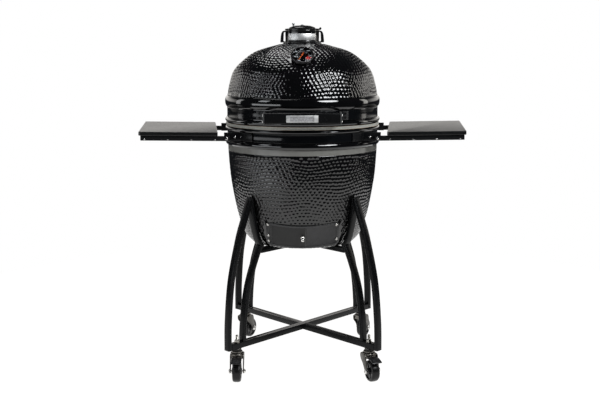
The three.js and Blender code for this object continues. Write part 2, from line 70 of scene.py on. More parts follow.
BRACKET_FACE_R = 0.2743  # the outer face of the handle brackets' feet
HINGE = Vector((0, 0.3178, RIM_Z))
GRIP = Vector((0, -0.32, 0.919))
VENT_Z = {"collar": 1.1583, "housing": 1.1633, "cover": 1.2066, "disc": 1.212}
OUTER_LINE = [(0.257, 0.632), (0.2855, 0.561), (0.311, 0.493), (0.347, 0.357), (0.363, 0.218),
              (0.366, 0.113)]
ARM_LINE = [(0.2588, 0.632), (0.2405, 0.54), (0.2225, 0.48), (0.206, 0.459)]
INNER_LINE = [(0.217, 0.459), (0.251, 0.384), (0.275, 0.315), (0.291, 0.23), (0.298, 0.158), (0.2985, 0.134)]
LEG_ANGLE = {"front_right": -45, "rear_right": 45, "rear_left": 135, "front_left": -135}
TRAIL_ANGLE = {"front_left": -90, "front_right": -68, "rear_left": 62, "rear_right": 62}
TUBE_SIZE = (0.015, 0.025)
CASTER_R, WHEEL_R, WHEEL_W, TRAIL = 0.325, 0.0375, 0.029, 0.026
SHELF = {"out": 0.2655, "deep": 0.434, "thick": 0.013, "inner": 0.031, "top": 0.0221, "arm": 0.199}
DIAL = Matrix.Translation((0, -0.1992, 1.1141)) @ Matrix.Rotation(radians(44), 4, "X")
DRAFT_R = 0.23
DRAFT = Matrix.Translation((0, 0, 0.5658)) @ Matrix.Rotation(radians(15.2), 4, "X")


# ---- Materials ----
def material(name, color, roughness, metallic=0.0, ior=1.5, coat=0.0, coat_roughness=0.05,
             mottle=None, rough_noise=None, bump=None, grain=None, edge=None, sheen=0.0):
    """A Principled material whose colour, roughness and bump vary with noise.
    mottle = (scale, amount), rough_noise = (scale, amount), bump = (scale, distance, detail),
    grain = (stretch per axis, roughness amount, bump distance), edge = (colour, amount): sharp edges turn
    towards that colour, partly as edge wear and partly as a painted highlight along the edges."""
    mat = bpy.data.materials.new(name)
    mat.use_nodes = True
    tree = mat.node_tree
    links = tree.links.new
    shader = tree.nodes["Principled BSDF"]
    for socket, value in (("Metallic", metallic), ("IOR", ior), ("Coat Weight", coat),
                          ("Coat Roughness", coat_roughness), ("Sheen Weight", sheen)):
        shader.inputs[socket].default_value = value
    shader.inputs["Roughness"].default_value = roughness
    place = tree.nodes.new("ShaderNodeTexCoord").outputs["Object"]

    def noise(scale, detail=4.0, stretch=None):
        node = tree.nodes.new("ShaderNodeTexNoise")
        node.inputs["Scale"].default_value = scale
        node.inputs["Detail"].default_value = detail
        source = place
        if stretch:
            mapping = tree.nodes.new("ShaderNodeMapping")
            mapping.inputs["Scale"].default_value = stretch
            links(place, mapping.inputs["Vector"])
            source = mapping.outputs["Vector"]
        links(source, node.inputs["Vector"])
        return node.outputs["Fac"]

    def spread(value, low, high, from_low=0.3, from_high=0.7):
        node = tree.nodes.new("ShaderNodeMapRange")
        for socket, number in (("From Min", from_low), ("From Max", from_high), ("To Min", low),
                               ("To Max", high)):
            node.inputs[socket].default_value = number
        links(value, node.inputs["Value"])
        return node.outputs["Result"]

    def mix(factor, first, second):
        node = tree.nodes.new("ShaderNodeMix")
        node.data_type = "RGBA"
        links(factor, node.inputs["Factor"])
        for socket, value in ((node.inputs["A"], first), (node.inputs["B"], second)):
            if isinstance(value, tuple):
                socket.default_value = (*value, 1)
            else:
                links(value, socket)
        return node.outputs["Result"]

    def vary_roughness(value, amount):
        links(spread(value, max(0.02, roughness - amount), roughness + amount), shader.inputs["Roughness"])

    def raise_by(value, distance):
        node = tree.nodes.new("ShaderNodeBump")
        node.inputs["Distance"].default_value = distance
        node.inputs["Strength"].default_value = 1.0
        links(value, node.inputs["Height"])
        links(node.outputs["Normal"], shader.inputs["Normal"])

    scale, amount = mottle or (18, 0.12)
    dark = tuple(c * (1 - amount) for c in color)
    light = tuple(min(1, c * (1 + amount)) for c in color)
    paint = mix(spread(noise(scale), 0, 1), dark, light)
    # Sharp edges made lighter by pointiness: partly edge wear, partly a painted highlight where edges would
    # catch the light.
    if edge:
        geometry = tree.nodes.new("ShaderNodeNewGeometry")
        edge_wear_and_highlight = spread(geometry.outputs["Pointiness"], 0, edge[1], 0.52, 0.62)
        paint = mix(edge_wear_and_highlight, paint, edge[0])
    links(paint, shader.inputs["Base Color"])
    if grain:
        stretch, amount, height = grain
        lines = noise(1.0, 3.0, stretch)
        vary_roughness(lines, amount)
        raise_by(lines, height)
    else:
        scale, amount = rough_noise or (30, 0.05)
        vary_roughness(noise(scale), amount)
        if bump:
            scale, distance, detail = bump
            raise_by(noise(scale, detail), distance)
    return mat


GLAZE = material("glaze", (0.0018, 0.0018, 0.002), 0.07, ior=1.52, coat=0.35, coat_roughness=0.04,
                 mottle=(26, 0.25), rough_noise=(55, 0.035), bump=(120, 0.00012, 3))
STRIP = material("glaze_strip", (0.175, 0.173, 0.16), 0.34, ior=1.5, mottle=(40, 0.1),
                 rough_noise=(60, 0.05), bump=(240, 0.00008, 3))
CLAY = material("clay", (0.5, 0.4, 0.3), 0.86, mottle=(24, 0.16), rough_noise=(60, 0.06),
                bump=(420, 0.0005, 6))
PAINT = material("satin_paint", (0.0032, 0.0034, 0.0038), 0.25, ior=1.23, mottle=(30, 0.15),
                 rough_noise=(70, 0.04), bump=(900, 0.00001, 2), edge=((0.03, 0.03, 0.031), 0.5))
# The light grey edge colour on these brackets is mostly a painted highlight along their edges.
BRACKET = material("bracket_paint", (0.006, 0.0065, 0.0075), 0.3, mottle=(30, 0.15), rough_noise=(70, 0.04),
                   bump=(900, 0.00001, 2), edge=((0.2, 0.2, 0.2), 0.5))
BAND = material("band_paint", (0.003, 0.0034, 0.0042), 0.13, ior=1.36, mottle=(30, 0.15),
                rough_noise=(40, 0.03), bump=(700, 0.00001, 2), edge=((0.03, 0.03, 0.031), 0.5))
GLOSS = material("gloss_coat", (0.006, 0.006, 0.0065), 0.14, mottle=(60, 0.2), rough_noise=(90, 0.03),
                 bump=(1300, 0.00001, 3), edge=((0.05, 0.05, 0.05), 0.4))
CAST = material("cast_coat", (0.012, 0.012, 0.013), 0.34, mottle=(60, 0.2), rough_noise=(90, 0.07),
                bump=(1300, 0.00006, 3), edge=((0.05, 0.05, 0.05), 0.5))
DOOR = material("door_paint", (0.006, 0.006, 0.006), 0.36, ior=1.42, mottle=(28, 0.12),
                rough_noise=(60, 0.05), bump=(800, 0.00003, 3), edge=((0.06, 0.06, 0.06), 0.5))
STEEL = material("steel", (0.56, 0.56, 0.55), 0.24, metallic=1, mottle=(35, 0.06),
                 grain=((14, 900, 900), 0.07, 0.00001))
POLISH = material("bright_steel", (0.66, 0.65, 0.63), 0.13, metallic=1, mottle=(80, 0.05),
                  rough_noise=(140, 0.05), bump=(600, 0.00002, 2))
ZINC = material("zinc", (0.36, 0.35, 0.32), 0.28, metallic=1, mottle=(45, 0.16), rough_noise=(130, 0.09),
                bump=(500, 0.00003, 3))
FORK = material("fork_zinc", (0.035, 0.035, 0.034), 0.36, metallic=1, mottle=(45, 0.16),
                rough_noise=(130, 0.09), bump=(500, 0.00003, 3), edge=((0.5, 0.47, 0.42), 0.7))
FELT = material("felt", (0.33, 0.33, 0.3), 0.95, mottle=(220, 0.22), rough_noise=(300, 0.04),
                bump=(1100, 0.0006, 5), sheen=0.25)
IRON = material("iron", (0.04, 0.037, 0.034), 0.72, metallic=0.35, mottle=(38, 0.3), rough_noise=(90, 0.1),
                bump=(520, 0.0003, 5), edge=((0.09, 0.08, 0.07), 0.5))
BOARD = material("board", (0.004, 0.004, 0.0042), 0.3, mottle=(12, 0.12),
                 grain=((30, 380, 380), 0.05, 0.00003))
RUBBER = material("rubber", (0.006, 0.006, 0.0063), 0.3, ior=1.33, mottle=(60, 0.2), rough_noise=(120, 0.08),
                  bump=(700, 0.00008, 4))
HUB = material("hub_plastic", (0.012, 0.012, 0.0125), 0.3, mottle=(50, 0.15), rough_noise=(120, 0.06),
               bump=(600, 0.00004, 3))
FACE = material("dial_face", (0.004, 0.004, 0.005), 0.6, ior=1.2, mottle=(70, 0.2), rough_noise=(150, 0.05),
                bump=(1500, 0.00001, 2))
INK = material("dial_ink", (0.75, 0.76, 0.79), 0.5, mottle=(200, 0.05), rough_noise=(200, 0.05))
WORN_STEEL = material("dark_steel", (0.3, 0.31, 0.32), 0.3, metallic=1, mottle=(90, 0.35),
                      rough_noise=(120, 0.1), bump=(700, 0.00005, 4))
REDZONE = material("red_ink", (0.62, 0.015, 0.012), 0.45, mottle=(200, 0.06), rough_noise=(200, 0.05))
NEEDLE = material("needle_paint", (0.85, 0.13, 0.018), 0.38, mottle=(200, 0.06), rough_noise=(200, 0.05))


def glass():
    mat = material("lens", (0.9, 0.92, 0.93), 0.03, ior=1.06, mottle=(30, 0.02), rough_noise=(60, 0.01))
    mat.node_tree.nodes["Principled BSDF"].inputs["Transmission Weight"].default_value = 1.0
    return mat


LENS = glass()
BADGE = material("badge_steel", (0.8, 0.8, 0.79), 0.5, metallic=1, mottle=(60, 0.1),
                 grain=((14, 700, 700), 0.08, 0.00001))
BADGE_DARK = material("badge_field", (0.5, 0.5, 0.51), 0.52, metallic=0.8, mottle=(300, 0.35),
                      rough_noise=(300, 0.1), bump=(900, 0.0001, 3))


# ---- Mesh helpers ----
def plain_mesh(name, part):
    """A mesh from a part, which is a list of points and a list of faces."""
    mesh = bpy.data.meshes.new(name)
    mesh.from_pydata([tuple(v) for v in part[0]], [], part[1])
    return mesh


def clean_mesh(mesh):
    """Joins points that meet, and turns every face outwards."""
    bm = bmesh.new()
    bm.from_mesh(mesh)
    bmesh.ops.remove_doubles(bm, verts=bm.verts, dist=1e-6)
    bmesh.ops.recalc_face_normals(bm, faces=bm.faces)
    bm.to_mesh(mesh)
    bm.free()


def piece(name, part, mat, body, nodes=(), crease=35, place=None, clean=True):
    """A mesh object that rides on a body, and stands for the CAD nodes named."""
    mesh = plain_mesh(name, part)
    if place is not None:
        mesh.transform(place)
    if clean:
        clean_mesh(mesh)
    return finish_piece(mesh, name, mat, body, nodes, crease)


def finish_piece(mesh, name, mat, body, nodes, crease):
    mesh.materials.clear()
    mesh.materials.append(mat)
    mesh.shade_smooth()
    if crease is not None:
        mesh.set_sharp_from_angle(angle=radians(crease))
    obj = bpy.data.objects.new(name, mesh)
    bpy.context.scene.collection.objects.link(obj)
    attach(obj, body)
    if nodes:
        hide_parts(*nodes)
    return obj


def cut_out(obj, part):
    """The object's mesh with a part cut out of it."""
    tool = bpy.data.objects.new("tool", plain_mesh("tool", part))
    bpy.context.scene.collection.objects.link(tool)
    boolean = obj.modifiers.new("cut", "BOOLEAN")
    boolean.object, boolean.operation, boolean.solver = tool, "DIFFERENCE", "EXACT"
    bpy.context.view_layer.update()
    mesh = bpy.data.meshes.new_from_object(obj.evaluated_get(bpy.context.evaluated_depsgraph_get()))
    obj.modifiers.clear()
    bpy.data.objects.remove(tool)
    return mesh


def cut_box(obj, x, y, z):
    """Cuts a straight-sided hole through a piece."""
    verts = [(a, b, c) for a in x for b in y for c in z]
    faces = [(0, 1, 3, 2), (4, 6, 7, 5), (0, 4, 5, 1), (2, 3, 7, 6), (0, 2, 6, 4), (1, 5, 7, 3)]
    obj.data = cut_out(obj, (verts, faces))


def join_parts(parts):
    """Several parts as one."""
    verts, faces = [], []
    for v, f in parts:
        base = len(verts)
        verts.extend(v)
        faces.extend([tuple(i + base for i in face) for face in f])
    return verts, faces


def moved(part, matrix):
    return [matrix @ Vector(v) for v in part[0]], part[1]


def spline(points, steps):
    """Points on the smooth curve through a few chosen ones."""
    pts = [Vector(p) for p in points]
    last = len(pts) - 1
    out = []
    for i in range(steps + 1):
        t = last * i / steps
        k = min(int(t), last - 1)
        w = t - k
        p0, p1, p2, p3 = pts[max(k - 1, 0)], pts[k], pts[k + 1], pts[min(k + 2, last)]
        a, b = (p2 - p0) * 0.5, (p3 - p1) * 0.5
        cubic, square = 2 * p1 - 2 * p2 + a + b, 3 * p2 - 3 * p1 - 2 * a - b
        out.append(tuple(cubic * w**3 + square * w**2 + a * w + p1))
    return out


def fillet(points, radius, steps):
    """A closed outline with its corners rounded."""
    out = []
    count = len(points)
    for i in range(count):
        before, here, after = (Vector(points[(i + k) % count][:2]) for k in (-1, 0, 1))
        one, two = before - here, after - here
        reach = min(radius, one.length * 0.45, two.length * 0.45)
        start, end = here + one.normalized() * reach, here + two.normalized() * reach
        for k in range(steps + 1):
            t = k / steps
            out.append(tuple(start * (1 - t) ** 2 + here * 2 * t * (1 - t) + end * t**2))
    return out


def end_caps(rows, count):
    """A face over the first row of points and one over the last."""
    return [tuple(range(count))[::-1], tuple((rows - 1) * count + i for i in range(count))]


def wrapped(rows, count):
    """The faces of a closed skin over rows of count points each."""
    faces = []
    for j in range(rows - 1):
        for i in range(count):
            n = (i + 1) % count
            faces.append((j * count + i, j * count + n, (j + 1) * count + n, (j + 1) * count + i))
    return faces + end_caps(rows, count)


def lathe(profile, sides, close=True):
    """Turns [radius, height] points about Z. A third entry "h" makes that point's ring a hexagon."""
    verts, faces = [], []
    for point in profile:
        r, z = point[0], point[1]
        for i in range(sides):
            angle = 2 * pi * i / sides
            reach = r
            if len(point) > 2:
                sixth = (angle + pi / 6) % (pi / 3) - pi / 6
                reach = r * cos(pi / 6) / cos(sixth)
            verts.append((reach * cos(angle), reach * sin(angle), z))
    rows = len(profile)
    for j in range(rows if close else rows - 1):
        k = (j + 1) % rows
        for i in range(sides):
            n = (i + 1) % sides
            faces.append((j * sides + i, j * sides + n, k * sides + n, k * sides + i))
    return verts, [f for f in faces if len(set(f)) == 4]


def spun(profile, sides):
    """A solid turned about Z, whose ends are each closed with one face."""
    verts, faces = lathe(profile, sides, close=False)
    return verts, faces + end_caps(len(profile), sides)


def extrude(outline, low, high, bevel, steps=2):
    """An [x, y] outline pushed along Z, with its edges rounded over."""
    verts = []
    count = len(outline)
    centre = sum((Vector(p[:2]) for p in outline), Vector((0, 0))) / count
    area = sum(outline[i][0] * outline[(i + 1) % count][1] - outline[(i + 1) % count][0] * outline[i][1]
               for i in range(count))
    if area < 0:
        outline = list(reversed(outline))

    def ring(inset, z):
        for i in range(count):
            here = Vector(outline[i][:2])
            one = (here - Vector(outline[i - 1][:2])).normalized()
            two = (Vector(outline[(i + 1) % count][:2]) - here).normalized()
            normal = Vector((one.y + two.y, -one.x - two.x))
            normal = normal.normalized() if normal.length > 1e-9 else here - centre
            spot = here - normal * inset
            verts.append((spot.x, spot.y, z))

    turns = [pi / 2 * k / steps for k in range(steps + 1)]
    layers = [(bevel * (1 - sin(a)), low + bevel * (1 - cos(a))) for a in turns]
    layers += [(bevel * (1 - cos(a)), high - bevel * (1 - sin(a))) for a in turns]
    for inset, z in layers:
        ring(inset, z)
    return verts, wrapped(len(layers), count)


def rounded(width, height, radius, steps):
    """A rectangle about the origin with rounded corners."""
    out = []
    for sx, sy, start in ((1, -1, -90), (1, 1, 0), (-1, 1, 90), (-1, -1, 180)):
        for k in range(steps + 1):
            angle = radians(start + 90 * k / steps)
            out.append((sx * (width / 2 - radius) + radius * cos(angle),
                        sy * (height / 2 - radius) + radius * sin(angle)))
    return out


def block(x, y, z, bevel, radius):
    """A box with rounded edges, between low and high along each axis."""
    wide, deep = x[1] - x[0], y[1] - y[0]
    corners = rounded(wide, deep, min(radius, wide / 3, deep / 3), 3)
    outline = [(px + (x[0] + x[1]) / 2, py + (y[0] + y[1]) / 2) for px, py in corners]
    return extrude(outline, z[0], z[1], bevel)


def tube(points, radius, sides):
    """A round wire along a path."""
    verts = []
    pts = [Vector(p) for p in points]
    count = len(pts)
    side = None
    for i, p in enumerate(pts):
        ahead = (pts[min(i + 1, count - 1)] - pts[max(i - 1, 0)]).normalized()
        if side is None:
            side = ahead.orthogonal().normalized()
        side = (side - ahead * side.dot(ahead)).normalized()
        up = ahead.cross(side)
        for k in range(sides):
            angle = 2 * pi * k / sides
            verts.append(p + (side * cos(angle) + up * sin(angle)) * radius)
    return verts, wrapped(count, sides)


def turn_z(degrees):
    return Matrix.Rotation(radians(degrees), 4, "Z")


ALONG_X = Matrix.Rotation(radians(90), 4, "Y")
ALONG_Y = Matrix.Rotation(radians(-90), 4, "X")
UPRIGHT_Y = Matrix.Rotation(radians(90), 4, "X")  # local Z to -Y, local Y to +Z
UPSIDE_DOWN = Matrix.Rotation(pi, 4, "X")


def aimed(spot, direction):
    """A frame at spot whose Z axis points along direction."""
    turn = Vector((0, 0, 1)).rotation_difference(Vector(direction).normalized()).to_matrix().to_4x4()
    return Matrix.Translation(spot) @ turn


def soften(node, mat, width, segments):
    """A copy of a CAD node's shape with its edges rounded over, standing for it."""
    source = frame["nodes"][node]
    mesh = source.data.copy()
    bm = bmesh.new()
    bm.from_mesh(mesh)
    bmesh.ops.remove_doubles(bm, verts=bm.verts, dist=2e-6)
    bmesh.ops.dissolve_limit(bm, angle_limit=radians(1), verts=bm.verts, edges=bm.edges)
    sharp = [e for e in bm.edges if len(e.link_faces) == 2 and e.calc_face_angle(0) > radians(32)]
    bmesh.ops.bevel(bm, geom=sharp, offset=width, offset_type="OFFSET", segments=segments, profile=0.5,
                    affect="EDGES", clamp_overlap=True)
    bmesh.ops.recalc_face_normals(bm, faces=bm.faces)
    bm.to_mesh(mesh)
    bm.free()
    if "custom_normal" in mesh.attributes:
        mesh.attributes.remove(mesh.attributes["custom_normal"])
    return finish_piece(mesh, node + "_look", mat, source["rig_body"], (node,), 40)


# ---- Hardware ----
def button_head(radius, height):
    """A domed head with a hexagonal socket, standing on Z = 0."""
    socket = radius * 0.42
    return spun([(radius, 0), (radius, height * 0.25), (radius * 0.92, height * 0.62),
                 (radius * 0.72, height * 0.9), (radius * 0.56, height), (socket * 1.06, height, "h"),
                 (socket, height * 0.93, "h"), (socket, height * 0.35, "h"),
                 (socket * 0.5, height * 0.3)], 24)


def head_at(spot, direction, radius, height):
    """A button head that stands on a spot and faces along a direction."""
    return moved(button_head(radius, height), aimed(spot, direction))


def hex_nut(radius, low, high, bore=0.0052):
    mid = (low + high) / 2
    cap = (high - low) * 0.16
    return lathe([(bore, low), (radius * 0.88, low), (radius, low + cap, "h"), (radius, mid, "h"),
                  (radius, high - cap, "h"), (radius * 0.88, high), (bore, high)], 24)


def washer(inner, outer, low, high):
    edge = (high - low) * 0.3
    return lathe([(inner, low), (outer - edge, low), (outer, low + edge), (outer, high - edge),
                  (outer - edge, high), (inner, high)], 32)


def rivet(radius, height):
    return spun([(radius, 0), (radius, height * 0.3), (radius * 0.86, height * 0.7),
                 (radius * 0.5, height * 0.96), (radius * 0.1, height)], 20)


def threaded(radius, low, high):
    """A threaded rod, as a row of ridges."""
    pitch = 0.0018
    profile = [(radius * 0.6, low)]
    z = low
    while z + pitch <= high:
        profile += [(radius * 0.88, z), (radius, z + pitch * 0.45), (radius * 0.88, z + pitch * 0.9)]
        z += pitch
    profile += [(radius * 0.8, high - 0.0004), (radius * 0.6, high)]
    return spun(profile, 20)


# ---- Ceramic body ----
def half_bead(span):
    """The outline of a half-round bead on the ceramic, between two heights."""
    steps = 12
    low, high = span
    out = []
    for k in range(steps + 1):
        angle = -pi / 2 + pi * k / steps
        out.append((SEAT_R + (BEAD_R - SEAT_R) * cos(angle),
                    (low + high) / 2 + (high - low) / 2 * sin(angle)))
    return out


def even_points(line, count):
    """The same line as count + 1 points at equal distances."""
    lengths = [0.0]
    for a, b in zip(line, line[1:]):
        lengths.append(lengths[-1] + dist(a, b))
    out = []
    k = 0
    for i in range(count + 1):
        goal = lengths[-1] * i / count
        while k < len(line) - 2 and lengths[k + 1] < goal:
            k += 1
        w = (goal - lengths[k]) / (lengths[k + 1] - lengths[k])
        out.append(tuple(a + (b - a) * w for a, b in zip(line[k], line[k + 1])))
    return out, lengths[-1]


def dimple_centres(line, margin, keep_out):
    """Rows of hollows round the body, half a step apart. The rows wander, and so does each hollow."""
    points, length = even_points(line, 2000)
    pitch, stray = DIMPLE["pitch"], DIMPLE["stray"]
    rows = round(length / (0.866 * pitch))
    chance = random.Random(11)
    centres = []
    for row in range(rows):
        along = (row + 0.5) * length / rows
        count = round(2 * pi * points[round(along / length * 2000)][0] / pitch)
        for k in range(count):
            angle = 2 * pi * (k + 0.5 * (row % 2)) / count - pi / 2
            swing = sin(5 * angle + 16 * along) + 0.7 * sin(9 * angle - 23 * along + 1)
            place = along + DIMPLE["wander"] * swing + stray * chance.uniform(-1, 1)
            if not margin < place < length - margin:
                continue
            r, z = points[round(place / length * 2000)]
            sway = DIMPLE["wander"] * sin(7 * angle + 40 * along) + stray * chance.uniform(-1, 1)
            turned = angle + sway / r
            spot = Vector((r * cos(turned), r * sin(turned), z))
            if not keep_out(spot):
                centres.append(spot)
    return centres


def dimpled_skin(name, line, rows, body, margin, keep_out, hole=None):
    """The outer face of a ceramic shell, with real hollows and a lip turned in at each edge."""
    sides = SKIN_SIDES
    points, _ = even_points(line, rows)
    centres = dimple_centres(line, margin, keep_out)
    tree = kdtree.KDTree(len(centres))
    for i, c in enumerate(centres):
        tree.insert(c, i)
    tree.balance()
    verts = []
    reach = DIMPLE["radius"]
    for j, (r, z) in enumerate(points):
        r0, z0 = points[max(j - 1, 0)]
        r1, z1 = points[min(j + 1, rows)]
        long = hypot(r1 - r0, z1 - z0)
        out_r, out_z = (z1 - z0) / long, -(r1 - r0) / long
        for i in range(sides):
            angle = 2 * pi * (i + 0.5 * (j % 2)) / sides
            ca, sa = cos(angle), sin(angle)
            here = Vector((r * ca, r * sa, z))
            _, _, away = tree.find(here)
            sink = 0.0
            if away < reach:
                sink = DIMPLE["depth"] * (1 - (away / reach) ** 2)
            verts.append((here.x - out_r * ca * sink, here.y - out_r * sa * sink, here.z - out_z * sink))
    faces = []
    for j in range(rows):
        for i in range(sides):
            n = (i + 1) % sides
            a, b, c, d = j * sides + i, j * sides + n, (j + 1) * sides + n, (j + 1) * sides + i
            middle = [(verts[a][axis] + verts[c][axis]) / 2 for axis in range(3)]
            if not (hole and hole(*middle)):
                faces.append((a, b, c, d))
    for j in (0, rows):
        r, z = points[j]
        lip = r - LIP_DEPTH
        base = len(verts)
        for i in range(sides):
            angle = 2 * pi * (i + 0.5 * (j % 2)) / sides
            verts.append((lip * cos(angle), lip * sin(angle), z + (0.001 if j == 0 else 0)))
        for i in range(sides):
            n = (i + 1) % sides
            ring = (j * sides + i, j * sides + n, base + n, base + i)
            faces.append(ring if j else ring[::-1])
    piece(name, (verts, faces), GLAZE, body, (), crease=None, clean=False)


def draft_hole(x, y, z):
    """The part of the skin that the draft opening takes away."""
    return y < 0 and -0.093 < x < 0.011 and 0.474 < z < 0.541


def near_frame(spot):
    """The smooth ceramic round the draft frame's screws."""
    local = DRAFT.inverted() @ spot
    return spot.y < 0 and abs(local.x) < 0.137 and abs(local.z) < 0.047


def under_dial(spot):
    """The smooth ceramic under the thermometer."""
    axis = DIAL.to_3x3() @ Vector((0, 0, 1))
    away = spot - DIAL.translation
    return (away - axis * away.dot(axis)).length < 0.042 and away.length < 0.07


bowl_line = [(0.152, 0.4532), (0.172, 0.454)] + spline(BOWL_LINE, 90)
dome_line = spline(DOME_LINE, 120) + [(0.062, 1.158)]
dimpled_skin("bowl_glaze", bowl_line, 146, "base", 0.012, near_frame, draft_hole)
dimpled_skin("dome_glaze", dome_line, 118, "lid", 0.006, under_dial)


def inset(line, by):
    """The same line, moved inwards by a distance."""
    out = []
    for j, (r, z) in enumerate(line):
        r0, z0 = line[max(j - 1, 0)]
        r1, z1 = line[min(j + 1, len(line) - 1)]
        long = hypot(r1 - r0, z1 - z0)
        out.append((r - by * (z1 - z0) / long, z + by * (r1 - r0) / long))
    return out


def bowl_core():
    """The ceramic behind the bowl's skin: clay inside, and a pale strip below the lower bead."""
    behind = inset([(0.152, 0.4532), (0.172, 0.454)] + spline(BOWL_LINE, 30), CORE_BEHIND)[:-1]
    outside = [(0.002, 0.453), (0.148, 0.453), (0.151, 0.4532)] + behind
    outside += [(0.265, 0.7872), (SEAT_R, 0.7884), (SEAT_R, 0.8065)] + half_bead(LOWER_BEAD)
    outside += [(SEAT_R, 0.8313), (SEAT_R, 0.8605)] + half_bead(BASE_RIM_BEAD)
    outside += [(0.2715, 0.8733), (RIM_R, 0.8742), (RIM_R, 0.8754), (0.273, 0.8759)]
    inside = [(0.245, 0.8759), (MOUTH_R, 0.8749), (0.2432, 0.83), (0.242, 0.78), (0.2405, 0.74),
              (0.236, 0.7), (0.227, 0.65), (0.214, 0.6), (0.199, 0.55), (0.184, 0.505), (0.168, 0.48),
              (0.14, 0.472), (0.002, 0.472)]
    obj = piece("bowl_body", lathe(outside + inside, BODY_SIDES), GLAZE, "base", ("base_bowl",),
                crease=50)
    obj.data.materials.append(CLAY)
    obj.data.materials.append(STRIP)
    for polygon in obj.data.polygons:
        c = polygon.center
        reach = hypot(c.x, c.y)
        wall = polygon.normal.x * c.x + polygon.normal.y * c.y < 0 and reach < 0.2455
        if wall or c.z > 0.8755 and reach < 0.2735:
            polygon.material_index = 1
        elif 0.7876 < c.z < 0.8074 and reach > 0.266:
            polygon.material_index = 2
    cut_box(obj, (-0.09, 0.008), (-0.26, -0.12), (0.477, 0.538))


bowl_core()


def dome_core():
    """The ceramic behind the dome's skin, with clay inside."""
    behind = inset(spline(DOME_LINE, 40), CORE_BEHIND)[1:]
    outside = [(0.273, 0.8851), (RIM_R, 0.8858), (RIM_R, 0.8862)] + half_bead(LID_RIM_BEAD)
    outside += [(SEAT_R, 0.9056), (SEAT_R, 0.939)] + half_bead(DOME_BEAD) + [(0.2672, 0.9788), (0.265, 0.98)]
    outside += behind + [(0.066, 1.156), (0.0625, 1.1578), (0.05, 1.158), (0.048, 1.1572)]
    inside = [(0.048, 1.136), (0.08, 1.134), (0.118, 1.1255), (0.15, 1.113), (0.174, 1.1005), (0.192, 1.085),
              (0.209, 1.0685), (0.222, 1.05), (0.2315, 1.028), (0.238, 1.005), (0.2415, 0.982),
              (0.243, 0.96), (MOUTH_R, 0.8861), (0.245, 0.8851)]
    obj = piece("dome_body", lathe(outside + inside, BODY_SIDES), GLAZE, "lid", ("dome_lid",),
                crease=50)
    obj.data.materials.append(CLAY)
    for polygon in obj.data.polygons:
        c = polygon.center
        reach = hypot(c.x, c.y)
        wall = polygon.normal.x * c.x + polygon.normal.y * c.y < 0 and reach < 0.2455
        if wall or c.z < 0.8856 and reach < 0.2735 or polygon.normal.z < -0.2 and reach < 0.24:
            polygon.material_index = 1


dome_core()


def steel_band(name, span, body, node):
    """A rolled strip with lips turned out a little along both edges."""
    low, high = span
    inner, outer = 0.26725, BAND_R
    outline = [(inner, low), (outer - 0.0002, low), (outer, low + 0.0004), (outer, low + 0.0014),
               (outer - 0.0005, low + 0.0026), (outer - 0.0005, high - 0.0026), (outer, high - 0.0014),
               (outer, high - 0.0004), (outer - 0.0002, high), (inner, high)]
    return piece(name, lathe(outline, BODY_SIDES), BAND, body, (node,), crease=50)


steel_band("lower_band_strip", (0.8313, 0.8607), "base", "band_lower")
steel_band("upper_band_strip", (0.9063, 0.9387), "lid", "band_upper")


def felt_ring(name, low, high, body, node):
    """A felt gasket: its outer edge is a little soft and uneven."""
    hole = MOUTH_R + 0.002
    outline = fillet([(hole, low), (RIM_R, low), (RIM_R, high), (hole, high)], 0.0014, 4)
    verts, faces = lathe(outline, 320)
    soft = []
    for x, y, z in verts:
        angle = atan2(y, x)
        ripple = sin(61 * angle) * sin(23 * angle + 1)
        swell = 0.00025 * (ripple + 0.6 * sin(137 * angle + z * 3000))
        r = hypot(x, y)
        k = (r - abs(swell)) / r
        soft.append((x * k, y * k, z))
    return piece(name, (soft, faces), FELT, body, (node,), crease=None)


felt_ring("felt_lower", 0.8762, 0.88035, "base", "gasket_lower")
felt_ring("felt_upper", 0.88065, 0.8848, "lid", "gasket_upper")


# ---- Loose ceramics and iron inside ----
def inner_ceramics():
    outline = fillet([(0.104, 0.4724), (0.138, 0.4724), (0.172, 0.51), (0.196, 0.6), (0.212, 0.701),
                      (0.19, 0.701), (0.172, 0.6), (0.152, 0.576), (0.112, 0.576)], 0.004, 3)
    box_piece = piece("firebox_clay", lathe(outline, 96), CLAY, "base", ("firebox",))
    cut_box(box_piece, (-0.075, 0.075), (-0.22, -0.06), (0.46, 0.536))
    outline = fillet([(0.19, 0.7014), (0.214, 0.7014), (0.214, 0.79), (0.19, 0.79)], 0.003, 3)
    piece("fire_ring_clay", lathe(outline, 96), CLAY, "base", ("fire_ring",))


inner_ceramics()
soften("charcoal_grate", IRON, 0.0012, 2)


def grid_of_rods():
    loop = [(0.223 * cos(2 * pi * i / 96), 0.223 * sin(2 * pi * i / 96), 0.7939) for i in range(97)]
    parts = [tube(loop, 0.0033, 10), tube([(-0.2215, 0, 0.7946), (0.2215, 0, 0.7946)], 0.0026, 10)]
    for i in range(-10, 11):
        x = i * 0.018
        half = sqrt(0.221**2 - x**2)
        parts.append(tube([(x, -half, 0.799), (x, 0, 0.799), (x, half, 0.799)], 0.0019, 10))
    piece("grid_rods", join_parts(parts), STEEL, "base", ("cooking_grid",))


grid_of_rods()


# ---- Stand ----
def curved_tube(line, steps):
    """A rectangular tube with round corners, bent along a line in the leg's own upright plane."""
    middle = spline(line, steps)
    section = rounded(*TUBE_SIZE, 0.0028, 4)
    verts = []
    for i, (r, z) in enumerate(middle):
        r1, z1 = middle[max(i - 1, 0)]
        r2, z2 = middle[min(i + 1, len(middle) - 1)]
        long = hypot(r2 - r1, z2 - z1)
        nr, nz = -(z2 - z1) / long, (r2 - r1) / long
        for a, b in section:
            verts.append((r + nr * a, b, z + nz * a))
    return verts, wrapped(len(middle), len(section))


